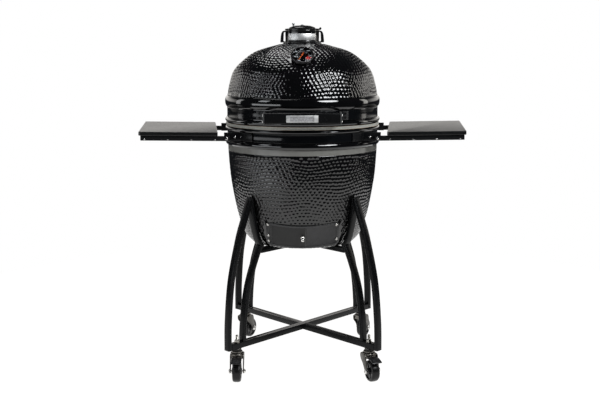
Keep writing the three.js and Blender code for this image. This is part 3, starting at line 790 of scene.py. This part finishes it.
def weld_line(a, b, y, radius):
    """A thin welded seam across the tubes, slightly lumpy."""
    steps = 14
    pts = []
    for i in range(steps + 1):
        t = i / steps
        pts.append((a[0] + (b[0] - a[0]) * t, y, a[1] + (b[1] - a[1]) * t + 0.0003 * sin(9 * i)))
    return tube(pts, radius, 8)


for corner, degrees in LEG_ANGLE.items():
    parts = [curved_tube(OUTER_LINE, 48), curved_tube(ARM_LINE, 20), curved_tube(INNER_LINE, 36)]
    for y in (-0.0124, 0.0124):
        parts.append(weld_line((0.2555, 0.6315), (0.2535, 0.604), y, 0.0014))
        parts.append(weld_line((0.2165, 0.4665), (0.2115, 0.45), y, 0.0014))
    piece("leg_tubes_" + corner, join_parts(parts), PAINT, "base", ("leg_" + corner,),
          place=turn_z(degrees))

soften("cross_upper", PAINT, 0.0022, 3)
soften("cross_lower", PAINT, 0.0022, 3)


# ---- Casters ----
def caster(corner):
    spot = turn_z(LEG_ANGLE[corner]) @ Vector((CASTER_R, 0, 0))
    place = Matrix.Translation(spot) @ turn_z(TRAIL_ANGLE[corner])
    fork_body, wheel_body = "caster_fork_" + corner, "caster_wheel_" + corner

    stem = [threaded(0.005, 0.1325, 0.16), hex_nut(0.0092, 0.1334, 0.1422),
            washer(0.0053, 0.0115, 0.1331, 0.1343), spun([(0.005, 0.098), (0.005, 0.133)], 20)]
    piece("stem_" + corner, join_parts(stem), ZINC, "base", ("caster_stem_" + corner,), place=place)
    race = lathe([(0.0052, 0.0982), (0.016, 0.0982), (0.0184, 0.099), (0.019, 0.1006), (0.0188, 0.103),
                  (0.0172, 0.1046), (0.015, 0.1056), (0.015, 0.1112), (0.0142, 0.1126),
                  (0.0052, 0.1126)], 40)
    piece("race_" + corner, race, FORK, "base", (), place=place)

    crown = lathe([(0.0058, 0.0932), (0.0175, 0.0932), (0.0215, 0.0922), (0.0236, 0.0904), (0.024, 0.092),
                   (0.0238, 0.0952), (0.0222, 0.097), (0.019, 0.0975), (0.0058, 0.0975)], 40)
    cheek = [(-0.0195, 0.0935), (0.0205, 0.0935), (0.0235, 0.086), (0.0345, 0.044), (0.035, 0.037),
             (0.0325, 0.0325), (0.0275, 0.03), (0.024, 0.0302), (0.0195, 0.0328), (0.0165, 0.0385),
             (0.002, 0.058), (-0.0165, 0.074), (-0.0205, 0.083)]
    fork = [crown]
    for y in (-0.0211, 0.0243):
        shape = moved(extrude(fillet(cheek, 0.004, 3), 0, 0.0032, 0.0008), UPRIGHT_Y)
        fork.append(moved(shape, Matrix.Translation((0, y, 0))))
    fork.append(block((-0.0185, 0.0195), (-0.0238, 0.0238), (0.0903, 0.0945), 0.0012, 0.004))
    fork.append(block((-0.016, 0.018), (-0.02, 0.02), (0.0785, 0.0906), 0.001, 0.003))
    piece("fork_" + corner, join_parts(fork), FORK, fork_body, ("caster_fork_" + corner,),
          place=place)

    across = Matrix.Translation((TRAIL, 0, WHEEL_R)) @ ALONG_Y
    axle = [spun([(0.0036, -0.0246), (0.0036, 0.0246)], 20), hex_nut(0.0078, 0.025, 0.0295, 0.0036),
            spun([(0.0036, 0.024), (0.0036, 0.0306), (0.0028, 0.0312)], 16),
            moved(button_head(0.0078, 0.004), Matrix.Translation((0, 0, -0.025)) @ UPSIDE_DOWN),
            washer(0.004, 0.0094, 0.0246, 0.0254), washer(0.004, 0.0094, -0.0254, -0.0246)]
    piece("axle_" + corner, join_parts(axle), POLISH, fork_body, (), place=place @ across)

    half = WHEEL_W / 2
    tread = [(0.0268, -half + 0.0035), (0.0275, -half + 0.0012), (0.029, -half), (0.0318, -half),
             (0.0342, -half + 0.0008), (0.0364, -half + 0.0036), (0.0373, -half + 0.0072), (WHEEL_R, -0.004),
             (WHEEL_R, 0.004), (0.0373, half - 0.0072), (0.0364, half - 0.0036), (0.0342, half - 0.0008),
             (0.0318, half), (0.029, half), (0.0275, half - 0.0012), (0.0268, half - 0.0035)]
    piece("tread_" + corner, lathe(tread, 72), RUBBER, wheel_body, ("caster_wheel_" + corner,),
          place=place @ across)
    core = [lathe([(0.0046, -0.0178), (0.0095, -0.0178), (0.0105, -0.0168), (0.0112, -half + 0.0045),
                   (0.027, -half + 0.004), (0.027, half - 0.004), (0.0112, half - 0.0045), (0.0105, 0.0168),
                   (0.0095, 0.0178), (0.0046, 0.0178)], 56)]
    for i in range(6):
        rib = block((0.0105, 0.0262), (-0.0012, 0.0012), (-half + 0.0022, half - 0.0022), 0.0005, 0.0008)
        core.append(moved(rib, turn_z(60 * i)))
    piece("hub_" + corner, join_parts(core), HUB, wheel_body, (), place=place @ across)

    if corner.startswith("front"):
        outline = [(0.024, 0.0868), (0.046, 0.0868), (0.0655, 0.0812), (0.0688, 0.0782), (0.0686, 0.0764),
                   (0.066, 0.0772), (0.044, 0.0822), (0.024, 0.0822)]
        plate = moved(extrude(fillet(outline, 0.0014, 3), -0.0178, 0.0178, 0.0016, 3), UPRIGHT_Y)
        pedal = [plate]
        for i in range(5):
            x = 0.049 + 0.0036 * i
            z = 0.0866 - (x - 0.046) * 0.285
            pedal.append(tube([(x, -0.0135, z), (x, 0.0135, z)], 0.0008, 8))
        piece("pedal_" + corner, join_parts(pedal), CAST, "brake_pedal_" + corner,
              ("brake_pedal_" + corner,), place=place)


for corner in LEG_ANGLE:
    caster(corner)


# ---- Handle ----
def handle():
    long, tall, deep = 0.247, 0.036, 0.02
    section = rounded(deep, tall, 0.0052, 6)
    place = Matrix.Translation(GRIP) @ Matrix(((0, 0, 1, 0), (1, 0, 0, 0), (0, 1, 0, 0), (0, 0, 0, 1)))
    piece("grip_bar", extrude(section, -long / 2, long / 2, 0.0012, 3), PAINT, "lid", ("handle_grip",),
          place=place)
    face = GRIP.y - deep / 2
    badge = extrude(rounded(0.104, 0.023, 0.002, 4), 0.0003, 0.0015, 0.0004, 2)
    front = Matrix.Translation((0, face, GRIP.z - 0.001)) @ UPRIGHT_Y
    piece("grip_plate", badge, BADGE, "lid", ("handle_badge",), place=front)
    piece("grip_plate_field", extrude(rounded(0.078, 0.017, 0.001, 3), 0.0014, 0.0016, 0.0001, 1),
          BADGE_DARK, "lid", (), place=front)
    for side in (-1, 1):
        name = "left" if side < 0 else "right"
        piece("grip_rivet_" + name, rivet(0.0034, 0.0013), BADGE, "lid", (),
              place=front @ Matrix.Translation((side * 0.0462, 0, 0.0004)))
        soften("handle_bracket_" + name, BRACKET, 0.0009, 2)
        screws = []
        for z in (-0.01, 0.01):
            screws.append(moved(button_head(0.0042, 0.0024),
                                Matrix.Translation((side * (long / 2 + 0.0048), GRIP.y, GRIP.z + z))
                                @ Matrix.Rotation(side * pi / 2, 4, "Y")))
        piece("grip_screws_" + name, join_parts(screws), POLISH, "lid", ())
        bolts = []
        for lift in (0.9145, 0.929):
            angle = asin((long / 2 + 0.02) / BRACKET_FACE_R)
            out = Vector((side * sin(angle), -cos(angle), 0))
            bolts.append(head_at(out * BRACKET_FACE_R + Vector((0, 0, lift)), out, 0.004, 0.0024))
        piece("foot_bolts_" + name, join_parts(bolts), PAINT, "lid", ())


handle()


# ---- Thermometer ----
def flat_text(words, size):
    """Plain figures as a thin flat mesh, centred on the origin."""
    curve = bpy.data.curves.new("figures", "FONT")
    curve.body = words
    curve.size = size
    curve.align_x = "CENTER"
    curve.align_y = "CENTER"
    curve.extrude = 0.00005
    curve.resolution_u = 3
    obj = bpy.data.objects.new("figures", curve)
    bpy.context.scene.collection.objects.link(obj)
    bpy.context.view_layer.update()
    mesh = bpy.data.meshes.new_from_object(obj.evaluated_get(bpy.context.evaluated_depsgraph_get()))
    part = ([v.co.copy() for v in mesh.vertices], [tuple(p.vertices) for p in mesh.polygons])
    bpy.data.objects.remove(obj)
    bpy.data.meshes.remove(mesh)
    return part


def arc_strip(inner, outer, start, end, low, high):
    """A flat piece of a ring; angles in degrees clockwise from the top."""
    steps = max(2, int(abs(end - start) / 4))
    turns = [radians(90 - (start + (end - start) * k / steps)) for k in range(steps + 1)]
    outline = [(outer * cos(a), outer * sin(a)) for a in turns]
    outline += [(inner * cos(a), inner * sin(a)) for a in reversed(turns)]
    count = len(outline)
    verts = [(x, y, low) for x, y in outline] + [(x, y, high) for x, y in outline]
    faces = [(i, (i + 1) % count, count + (i + 1) % count, count + i) for i in range(count)]
    for k in range(steps):
        a, b, c, d = k, k + 1, count - 2 - k, count - 1 - k
        faces.append((a, b, c, d)[::-1])
        faces.append((count + a, count + b, count + c, count + d))
    return verts, faces


def thermometer():
    rim = [(0.0305, 0.0086), (0.0002, 0.0086), (0.0002, 0.0014), (0.036, 0.0014), (0.0376, 0.002),
           (0.0388, 0.0036), (0.039, 0.005), (0.039, 0.0102), (0.0386, 0.0118), (0.0376, 0.013),
           (0.0362, 0.0135), (0.0346, 0.0135), (0.0334, 0.013), (0.0329, 0.0121), (0.0329, 0.0086)]
    case = [lathe(rim, 96), spun([(0.005, -0.058), (0.005, 0.004)], 20)]
    case.append(hex_nut(0.011, -0.035, -0.027, 0.0052))
    piece("thermo_case", join_parts(case), GLOSS, "lid", ("thermometer_case",), place=DIAL)
    piece("thermo_dial", spun([(0.0325, 0.0088), (0.0325, 0.0097)], 72), FACE, "lid", ("thermometer_dial",),
          place=DIAL)

    start, sweep = -154, 300
    top = 0.00972
    marks = []
    for k in range(31):
        angle = start + sweep * k / 30
        inner = 0.0196 if k % 5 == 0 else 0.0212
        marks.append(arc_strip(inner, 0.0232, angle - 0.9, angle + 0.9, top, top + 0.0001))
    for k in range(7):
        angle = radians(start + sweep * k / 6)
        figures = flat_text(str(50 + 50 * k), 0.0076)
        spot = Matrix.Translation((0.0276 * sin(angle), 0.0276 * cos(angle), top + 0.00005))
        marks.append(moved(figures, spot))
    marks.append(arc_strip(0.0168, 0.0179, start, start + 215, top, top + 0.0001))
    for k in range(9):
        angle = start + 215 * k / 8
        marks.append(arc_strip(0.01, 0.0128, angle - 2.2, angle + 2.2, top, top + 0.0001))
    piece("thermo_figures", join_parts(marks), INK, "lid", (), place=DIAL, crease=30)
    piece("thermo_hot_zone", arc_strip(0.0172, 0.03, 110, 141, top + 0.0001, top + 0.00018), REDZONE, "lid",
          (), place=DIAL, crease=30)

    pointer = [(-0.0022, -0.0125), (0.0022, -0.0125), (0.0024, -0.002), (0.0013, 0.003), (0.0004, 0.0255),
               (-0.0004, 0.0255), (-0.0013, 0.003), (-0.0024, -0.002)]
    turned = DIAL @ turn_z(-start)
    needle = [extrude(pointer, 0.0104, 0.0109, 0.0001, 1)]
    needle.append(spun([(0.0034, 0.0102), (0.0034, 0.0109), (0.0029, 0.0113), (0.0008, 0.0114)], 24))
    piece("thermo_needle", join_parts(needle), NEEDLE, "needle", ("thermometer_needle",),
          place=turned)
    piece("thermo_glass", spun([(0.0318, 0.0119), (0.0325, 0.0121), (0.0325, 0.0128), (0.0318, 0.013)], 72),
          LENS, "lid", ("thermometer_lens",), place=DIAL)


thermometer()


# ---- Top vent ----
def round_holes(disc, holes, low, high):
    """A disc with round holes cut through it, as points and faces."""
    mesh = plain_mesh("disc", disc)
    clean_mesh(mesh)
    obj = bpy.data.objects.new("disc", mesh)
    bpy.context.scene.collection.objects.link(obj)
    drills = [moved(spun([(r, low - 0.02), (r, high + 0.02)], 32), Matrix.Translation((x, y, 0)))
              for x, y, r in holes]
    cut = cut_out(obj, join_parts(drills))
    bpy.data.objects.remove(obj)
    return [v.co.copy() for v in cut.vertices], [tuple(p.vertices) for p in cut.polygons]


def petal_places(offset):
    """Five holes round the vent, each as x, y and radius."""
    away, radius = 0.026, 0.0095
    turns = [offset + 2 * pi * i / 5 for i in range(5)]
    return [(away * cos(a), away * sin(a), radius) for a in turns]


def vent():
    collar = fillet([(0.044, 1.136), (0.0474, 1.136), (0.0474, 1.1583), (0.07, 1.1583), (0.0665, 1.163),
                     (0.044, 1.163)], 0.0014, 4)
    piece("vent_collar_ring", lathe(collar, 96), GLOSS, "lid", ("vent_collar",))

    z = VENT_Z["housing"]
    wall = lathe([(0.054, z), (0.0632, z), (0.064, z + 0.0008), (0.064, z + 0.0032), (0.063, z + 0.004),
                  (0.0604, z + 0.0046), (0.06, z + 0.0056), (0.06, z + 0.038), (0.0604, z + 0.039),
                  (0.0604, z + 0.042), (0.0598, z + 0.043), (0.0556, z + 0.043), (0.055, z + 0.0422)], 96)
    parts = [wall]
    ear = [(0.06, 0.0), (0.077, 0.0), (0.0772, 0.006), (0.0755, 0.024), (0.0735, 0.033), (0.0695, 0.0395),
           (0.063, 0.0412), (0.057, 0.0412), (0.057, 0.0372), (0.062, 0.0368), (0.065, 0.034),
           (0.0662, 0.006), (0.064, 0.004), (0.058, 0.004)]
    for side in (-1, 1):
        outline = [(side * x, h) for x, h in fillet(ear, 0.0016, 3)]
        fin = moved(extrude(outline, -0.013, 0.013, 0.001, 2), UPRIGHT_Y)
        parts.append(moved(fin, Matrix.Translation((0, 0, z))))
    piece("vent_body", join_parts(parts), GLOSS, "lid", ("vent_housing",))

    verts, faces = [], []
    columns, half = 36, radians(50)
    rows = [(0.0603, 1.1716), (0.0613, 1.1712), (0.0616, 1.1718), (0.0616, 1.1932), (0.0613, 1.1938),
            (0.0603, 1.1934)]
    for i in range(columns + 1):
        angle = -pi / 2 - half + 2 * half * i / columns
        for r, h in rows:
            verts.append((r * cos(angle), r * sin(angle), h))
    per = len(rows)
    for i in range(columns):
        for j in range(per):
            k = (j + 1) % per
            faces.append((i * per + j, (i + 1) * per + j, (i + 1) * per + k, i * per + k))
    faces.append(tuple(range(per)))
    faces.append(tuple(columns * per + j for j in range(per))[::-1])
    piece("vent_plate", (verts, faces), BADGE, "lid", ("vent_badge",), crease=30)
    rivets = []
    for side in (-1, 1):
        angle = -pi / 2 + side * radians(45)
        out = Vector((cos(angle), sin(angle), 0))
        rivets.append(moved(rivet(0.0019, 0.001), aimed(out * 0.0615 + Vector((0, 0, 1.1825)), out)))
    piece("vent_plate_rivets", join_parts(rivets), POLISH, "lid", ())

    z = VENT_Z["cover"]
    flat = spun([(0.0598, z), (0.0608, z + 0.0006), (0.061, z + 0.0014), (0.061, z + 0.0032),
                 (0.0604, z + 0.0042), (0.059, z + 0.0048)], 96)
    plate = round_holes(flat, petal_places(pi / 2), z, z + 0.0048)
    lug = block((0.054, 0.0655), (-0.02, 0.02), (z + 0.0002, z + 0.0046), 0.0008, 0.002)
    barrel = moved(spun([(0.003, -0.02), (0.004, -0.0192), (0.004, 0.0192), (0.003, 0.02)], 24), ALONG_Y)
    pin = moved(spun([(0.0016, -0.0212), (0.0016, 0.0212)], 16), ALONG_Y)
    hinge_spot = Matrix.Translation((0.064, 0, z + 0.005))
    piece("vent_cover_plate", join_parts([plate, lug, moved(barrel, hinge_spot), moved(pin, hinge_spot)]),
          GLOSS, "vent_cover", ("vent_cover",), crease=30)

    z = VENT_Z["disc"]
    low_dome = spun([(0.0462, z), (0.047, z + 0.0006), (0.047, z + 0.002), (0.046, z + 0.0032),
                     (0.042, z + 0.0052), (0.036, z + 0.0074), (0.029, z + 0.0093), (0.02, z + 0.0105),
                     (0.01, z + 0.0111), (0.004, z + 0.0112)], 96)
    piece("vent_turn_disc", round_holes(low_dome, petal_places(pi / 2 + pi / 5), z, z + 0.012), GLOSS,
          "vent_disc", ("vent_disc",))
    centre = [washer(0.002, 0.0072, z + 0.0108, z + 0.0118)]
    centre.append(spun([(0.004, z + 0.0112), (0.0045, z + 0.0118, "h"), (0.0045, z + 0.0132, "h"),
                        (0.0038, z + 0.0136), (0.002, z + 0.0136)], 24))
    piece("vent_centre_nut", join_parts(centre), WORN_STEEL, "vent_disc", ())
    knob = spun([(0.003, 0.0084), (0.0032, 0.009), (0.003, 0.0126), (0.0036, 0.0134), (0.0048, 0.014),
                 (0.0051, 0.015), (0.0051, 0.0172), (0.0046, 0.0181), (0.002, 0.0183)], 32)
    piece("vent_lift_knob", knob, WORN_STEEL, "vent_disc", ("vent_knob",),
          place=Matrix.Translation((-0.031, -0.016, z)))


vent()


# ---- Draft door ----
def barrel_plate(x, z, radius, inner, outer):
    """A plate bent round the draft's barrel: a rounded window in x and z, between two depths."""
    bevel, columns = 0.0006, 44
    wide, tall = x[1] - x[0], z[1] - z[0]
    outline = [(px + (x[0] + x[1]) / 2, pz + (z[0] + z[1]) / 2) for px, pz in rounded(wide, tall, radius, 4)]
    bm = bmesh.new()
    corners = [bm.verts.new((px, pz, 0)) for px, pz in outline]
    bm.faces.new(corners)
    for k in range(1, columns):
        cut = x[0] + wide * k / columns
        bmesh.ops.bisect_plane(bm, geom=bm.verts[:] + bm.edges[:] + bm.faces[:], plane_co=(cut, 0, 0),
                               plane_no=(1, 0, 0))
    made = bmesh.ops.extrude_face_region(bm, geom=bm.faces[:])
    for v in [g for g in made["geom"] if isinstance(g, bmesh.types.BMVert)]:
        v.co.z = 1
    rim = [e for e in bm.edges if len(e.link_faces) == 2 and e.calc_face_angle(0) > 0.6
           and abs(e.verts[0].co.z - e.verts[1].co.z) < 0.5]
    for v in bm.verts:
        v.co.z *= outer - inner
    bmesh.ops.bevel(bm, geom=rim, offset=bevel, offset_type="OFFSET", segments=2, profile=0.5,
                    affect="EDGES")
    out = []
    for v in bm.verts:
        px, pz, depth = v.co
        reach = DRAFT_R + inner + depth
        out.append((px, -sqrt(max(reach**2 - px**2, 1e-9)), pz))
    bm.verts.index_update()
    result = (out, [tuple(v.index for v in f.verts) for f in bm.faces])
    bm.free()
    return result


def on_barrel(x, z, out):
    """A frame on the draft's barrel, facing outwards."""
    spot = Vector((x, -sqrt((DRAFT_R + out) ** 2 - x**2), z))
    return DRAFT @ aimed(spot, (spot.x, spot.y, 0))


def draft():
    soften("draft_frame", CAST, 0.0008, 2)
    piece("draft_leaf", barrel_plate((-0.1076, 0.0126), (-0.0336, 0.0346), 0.006, 0.0027, 0.0043), DOOR,
          "draft_door", ("draft_door",), crease=30, place=DRAFT)
    knob = spun([(0.0062, 0.0), (0.0062, 0.001), (0.0034, 0.0016), (0.0025, 0.0026), (0.0025, 0.008),
                 (0.0034, 0.0096), (0.0052, 0.0112), (0.0063, 0.0134), (0.0065, 0.0152), (0.0062, 0.0174),
                 (0.0052, 0.0196), (0.0034, 0.0212), (0.001, 0.0218)], 32)
    piece("draft_ball", knob, POLISH, "draft_door", ("draft_knob",),
          place=DRAFT @ Matrix.Translation((0, -DRAFT_R - 0.0042, -0.002)) @ UPRIGHT_Y)
    heads, rings = [], []
    for x, z in ((-0.1205, 0.034), (-0.119, -0.007), (-0.1175, -0.0264), (0.117, 0.034), (0.117, -0.0213)):
        heads.append(moved(button_head(0.004, 0.0026), on_barrel(x, z, 0.0052)))
        rings.append(moved(washer(0.002, 0.0052, -0.0004, 0.0004), on_barrel(x, z, 0.0052)))
    piece("draft_screws", join_parts(heads), POLISH, "base", ())
    piece("draft_washers", join_parts(rings), ZINC, "base", ())


draft()


# ---- Hinge ----
def hinge():
    soften("hinge_base_bracket", PAINT, 0.001, 2)
    soften("hinge_lid_bracket", PAINT, 0.001, 2)
    place = Matrix.Translation(HINGE) @ ALONG_X
    ends = [moved(button_head(0.009, 0.005), Matrix.Translation((0, 0, 0.0466))),
            moved(button_head(0.009, 0.005), Matrix.Translation((0, 0, -0.0466)) @ UPSIDE_DOWN)]
    piece("hinge_pin", join_parts([spun([(0.006, -0.05), (0.006, 0.05)], 32)] + ends), ZINC, "base",
          ("hinge_shaft",), place=place)
    turns, per = 4, 28
    inner_end, coil_pitch, coil_r = 0.0152, 0.0054, 0.0103
    for side, name in ((-1, "left"), (1, "right")):
        points = [(side * inner_end, HINGE.y - 0.009, HINGE.z - 0.02)]
        for i in range(turns * per + 1):
            angle = pi + 2 * pi * i / per
            x = inner_end + coil_pitch * i / per
            points.append((side * x, HINGE.y + coil_r * cos(angle), HINGE.z + coil_r * sin(angle)))
        points.append((side * (inner_end + coil_pitch * turns), HINGE.y - 0.012, HINGE.z - 0.02))
        piece("spring_" + name, tube(points, 0.0016, 10), ZINC, "base", ("hinge_spring_" + name,),
              crease=None)
    for body, z in (("base", 0.846), ("lid", 0.9225)):
        heads = [head_at((x, 0.2754, z), (0, 1, 0), 0.005, 0.003) for x in (-0.05, 0.05)]
        piece("hinge_bolts_" + body, join_parts(heads), ZINC, body, ())


hinge()


# ---- Side shelves ----
def shelf(side):
    sign = 1 if side == "right" else -1
    turn = -6.4 if side == "right" else 186.4
    hanger = Matrix.Translation((sign * 0.2803, 0.01825, 0.8405)) @ turn_z(turn)
    place = hanger @ Matrix.Rotation(radians(-1.2), 4, "Y")
    body = "shelf_" + side
    board = extrude(rounded(SHELF["out"], SHELF["deep"], 0.006, 6), SHELF["top"] - SHELF["thick"],
                    SHELF["top"], 0.0016, 4)
    piece("board_" + side, moved(board, Matrix.Translation((SHELF["inner"] + SHELF["out"] / 2, 0, 0))),
          BOARD, body, ("shelf_board_" + side,), place=place)
    top = SHELF["top"] - SHELF["thick"] - 0.0003
    z = (top - 0.017, top)
    reach = SHELF["inner"] + SHELF["out"] - 0.006
    parts = []
    for end in (-1, 1):
        span = sorted((end * SHELF["arm"], end * (SHELF["arm"] + 0.012)))
        parts.append(block((-0.011, reach), span, z, 0.0014, 0.003))
    for x in (0.15, reach - 0.012):
        parts.append(block((x, x + 0.012), (-SHELF["arm"], SHELF["arm"]), (z[0] + 0.0004, z[1] - 0.0002),
                           0.0012, 0.002))
    piece("arms_" + side, join_parts(parts), PAINT, body, ("shelf_frame_" + side,),
          place=place)
    heads = []
    for end in (-1, 1):
        out = end * (SHELF["arm"] + 0.012)
        for x in (0.04, 0.119, 0.198, 0.277):
            heads.append(head_at((x, out, z[0] + 0.0042), (0, end, 0), 0.0026, 0.0014))
    for x, y in ((0.156, -0.12), (0.156, 0.12), (reach - 0.006, -0.12), (reach - 0.006, 0.12)):
        heads.append(head_at((x, y, z[0] + 0.0003), (0, 0, -1), 0.0045, 0.0026))
    piece("arm_screws_" + side, join_parts(heads), POLISH, body, (), place=place)
    bolts = []
    for end in (-1, 1):
        out = end * (SHELF["arm"] + 0.0122)
        bolts.append(moved(hex_nut(0.0072, 0.0, 0.0042, 0.0036), aimed((0, out, 0), (0, end, 0))))
        bolts.append(moved(spun([(0.0036, 0.0), (0.0036, 0.0058), (0.0026, 0.0064)], 20),
                           aimed((0, out, 0), (0, end, 0))))
    piece("pivot_nuts_" + side, join_parts(bolts), POLISH, "base", (), place=hanger)
    for end in ("front", "rear"):
        soften(f"shelf_bracket_{end}_{side}", PAINT, 0.0009, 2)
        local = (-1 if end == "front" else 1) * sign
        screws = []
        for x in (-0.028, -0.051, -0.068) if end == "front" else (-0.05, -0.08):
            out = local * (SHELF["arm"] - 0.0003)
            screws.append(head_at((x, out, 0.0048), (0, local, 0), 0.0036, 0.002))
        piece(f"bracket_screws_{end}_{side}", join_parts(screws), POLISH, "base", (), place=hanger)


shelf("right")
shelf("left")


# ---- Stage, lights and camera ----
LIGHTS_AIM_Z = 0.9


def floor():
    """A flat round floor. It glows, so it stays pale under the object too."""
    sides, reach = 128, 2.0
    rim = [(reach * cos(2 * pi * i / sides), reach * sin(2 * pi * i / sides), 0) for i in range(sides)]
    mesh = bpy.data.meshes.new("floor")
    mesh.from_pydata(rim, [], [tuple(range(sides))])
    mat = bpy.data.materials.new("pale_floor")
    mat.use_nodes = True
    shader = mat.node_tree.nodes["Principled BSDF"]
    shader.inputs["Base Color"].default_value = (0.12, 0.12, 0.12, 1)
    shader.inputs["Roughness"].default_value = 1.0
    shader.inputs["Specular IOR Level"].default_value = 0.0
    shader.inputs["Emission Color"].default_value = (1, 0.995, 0.985, 1)
    shader.inputs["Emission Strength"].default_value = 1.0
    mesh.materials.append(mat)
    obj = bpy.data.objects.new("floor", mesh)
    bpy.context.scene.collection.objects.link(obj)


def softbox(name, azimuth, elevation, distance, width, height, radiance, tint=(1, 1, 1), shape="RECTANGLE"):
    """An area light facing the body. Azimuth is measured from the front towards +X."""
    a, e = radians(azimuth), radians(elevation)
    direction = Vector((sin(a) * cos(e), -cos(a) * cos(e), sin(e)))
    light = bpy.data.lights.new(name, "AREA")
    light.shape = shape
    light.size, light.size_y = width, height
    light.energy = radiance * pi * width * height
    light.color = tint
    obj = bpy.data.objects.new(name, light)
    obj.location = Vector((0, 0, LIGHTS_AIM_Z)) + direction * distance
    obj.rotation_euler = direction.to_track_quat("Z", "Y").to_euler()
    obj.visible_camera = False
    bpy.context.scene.collection.objects.link(obj)


def studio():
    world = bpy.data.worlds.new("studio")
    bpy.context.scene.world = world
    world.use_nodes = True
    tree = world.node_tree
    tree.nodes.clear()
    links = tree.links.new
    out = tree.nodes.new("ShaderNodeOutputWorld")
    seen = tree.nodes.new("ShaderNodeBackground")
    seen.inputs["Color"].default_value = (1, 1, 1, 1)
    around = tree.nodes.new("ShaderNodeBackground")
    place = tree.nodes.new("ShaderNodeTexCoord").outputs["Generated"]
    split = tree.nodes.new("ShaderNodeSeparateXYZ")
    links(place, split.inputs["Vector"])

    def ramp(axis, start, end, low, high):
        node = tree.nodes.new("ShaderNodeMapRange")
        node.interpolation_type = "SMOOTHSTEP"
        for socket, value in (("From Min", start), ("From Max", end), ("To Min", low), ("To Max", high)):
            node.inputs[socket].default_value = value
        links(split.outputs[axis], node.inputs["Value"])
        return node.outputs["Result"]

    def times(first, second):
        node = tree.nodes.new("ShaderNodeMath")
        node.operation = "MULTIPLY"
        links(first, node.inputs[0])
        links(second, node.inputs[1])
        return node.outputs["Value"]

    height = times(ramp("Z", -0.02, 0.05, 0.0, 1.0), ramp("Z", 0.16, 0.42, 1.0, 0.0))
    wall = times(ramp("Y", 0.15, 0.65, 0.0, 1.0), height)
    colours = tree.nodes.new("ShaderNodeMix")
    colours.data_type = "RGBA"
    colours.inputs["A"].default_value = (0.024, 0.026, 0.03, 1)
    colours.inputs["B"].default_value = (1.1, 1.07, 1.03, 1)
    links(wall, colours.inputs["Factor"])
    links(colours.outputs["Result"], around.inputs["Color"])
    path = tree.nodes.new("ShaderNodeLightPath")
    pick = tree.nodes.new("ShaderNodeMixShader")
    links(path.outputs["Is Camera Ray"], pick.inputs["Fac"])
    links(around.outputs["Background"], pick.inputs[1])
    links(seen.outputs["Background"], pick.inputs[2])
    links(pick.outputs["Shader"], out.inputs["Surface"])
    softbox("key", 41, 36, 3.0, 1.4, 1.4, 13.0, (0.96, 0.98, 1.0), shape="ELLIPSE")
    softbox("fill", -60, 30, 3.0, 0.7, 1.0, 4.2, (0.92, 0.96, 1.0))
    softbox("top", -150, 72, 2.6, 1.1, 1.1, 5.0)
    softbox("low_left", -53, -4, 3.0, 2.5, 0.7, 3.2, (0.94, 0.97, 1.0))
    softbox("rim_left", -104, 12, 2.8, 0.5, 1.6, 2.0)
    softbox("rim_right", 102, 12, 2.8, 0.5, 1.6, 3.0, (1, 0.97, 0.92))


def camera():
    data = bpy.data.cameras.new("camera")
    data.lens = 54.87
    data.sensor_width = 36
    data.shift_x = -0.0056
    data.clip_end = 200
    obj = bpy.data.objects.new("camera", data)
    obj.location = (0.004, -3.29, 1.152)
    obj.rotation_euler = (radians(90 - 9.58), radians(0.15), 0)
    bpy.context.scene.collection.objects.link(obj)
    bpy.context.scene.camera = obj


floor()
studio()
camera()
bpy.context.scene.view_settings.view_transform = "Standard"
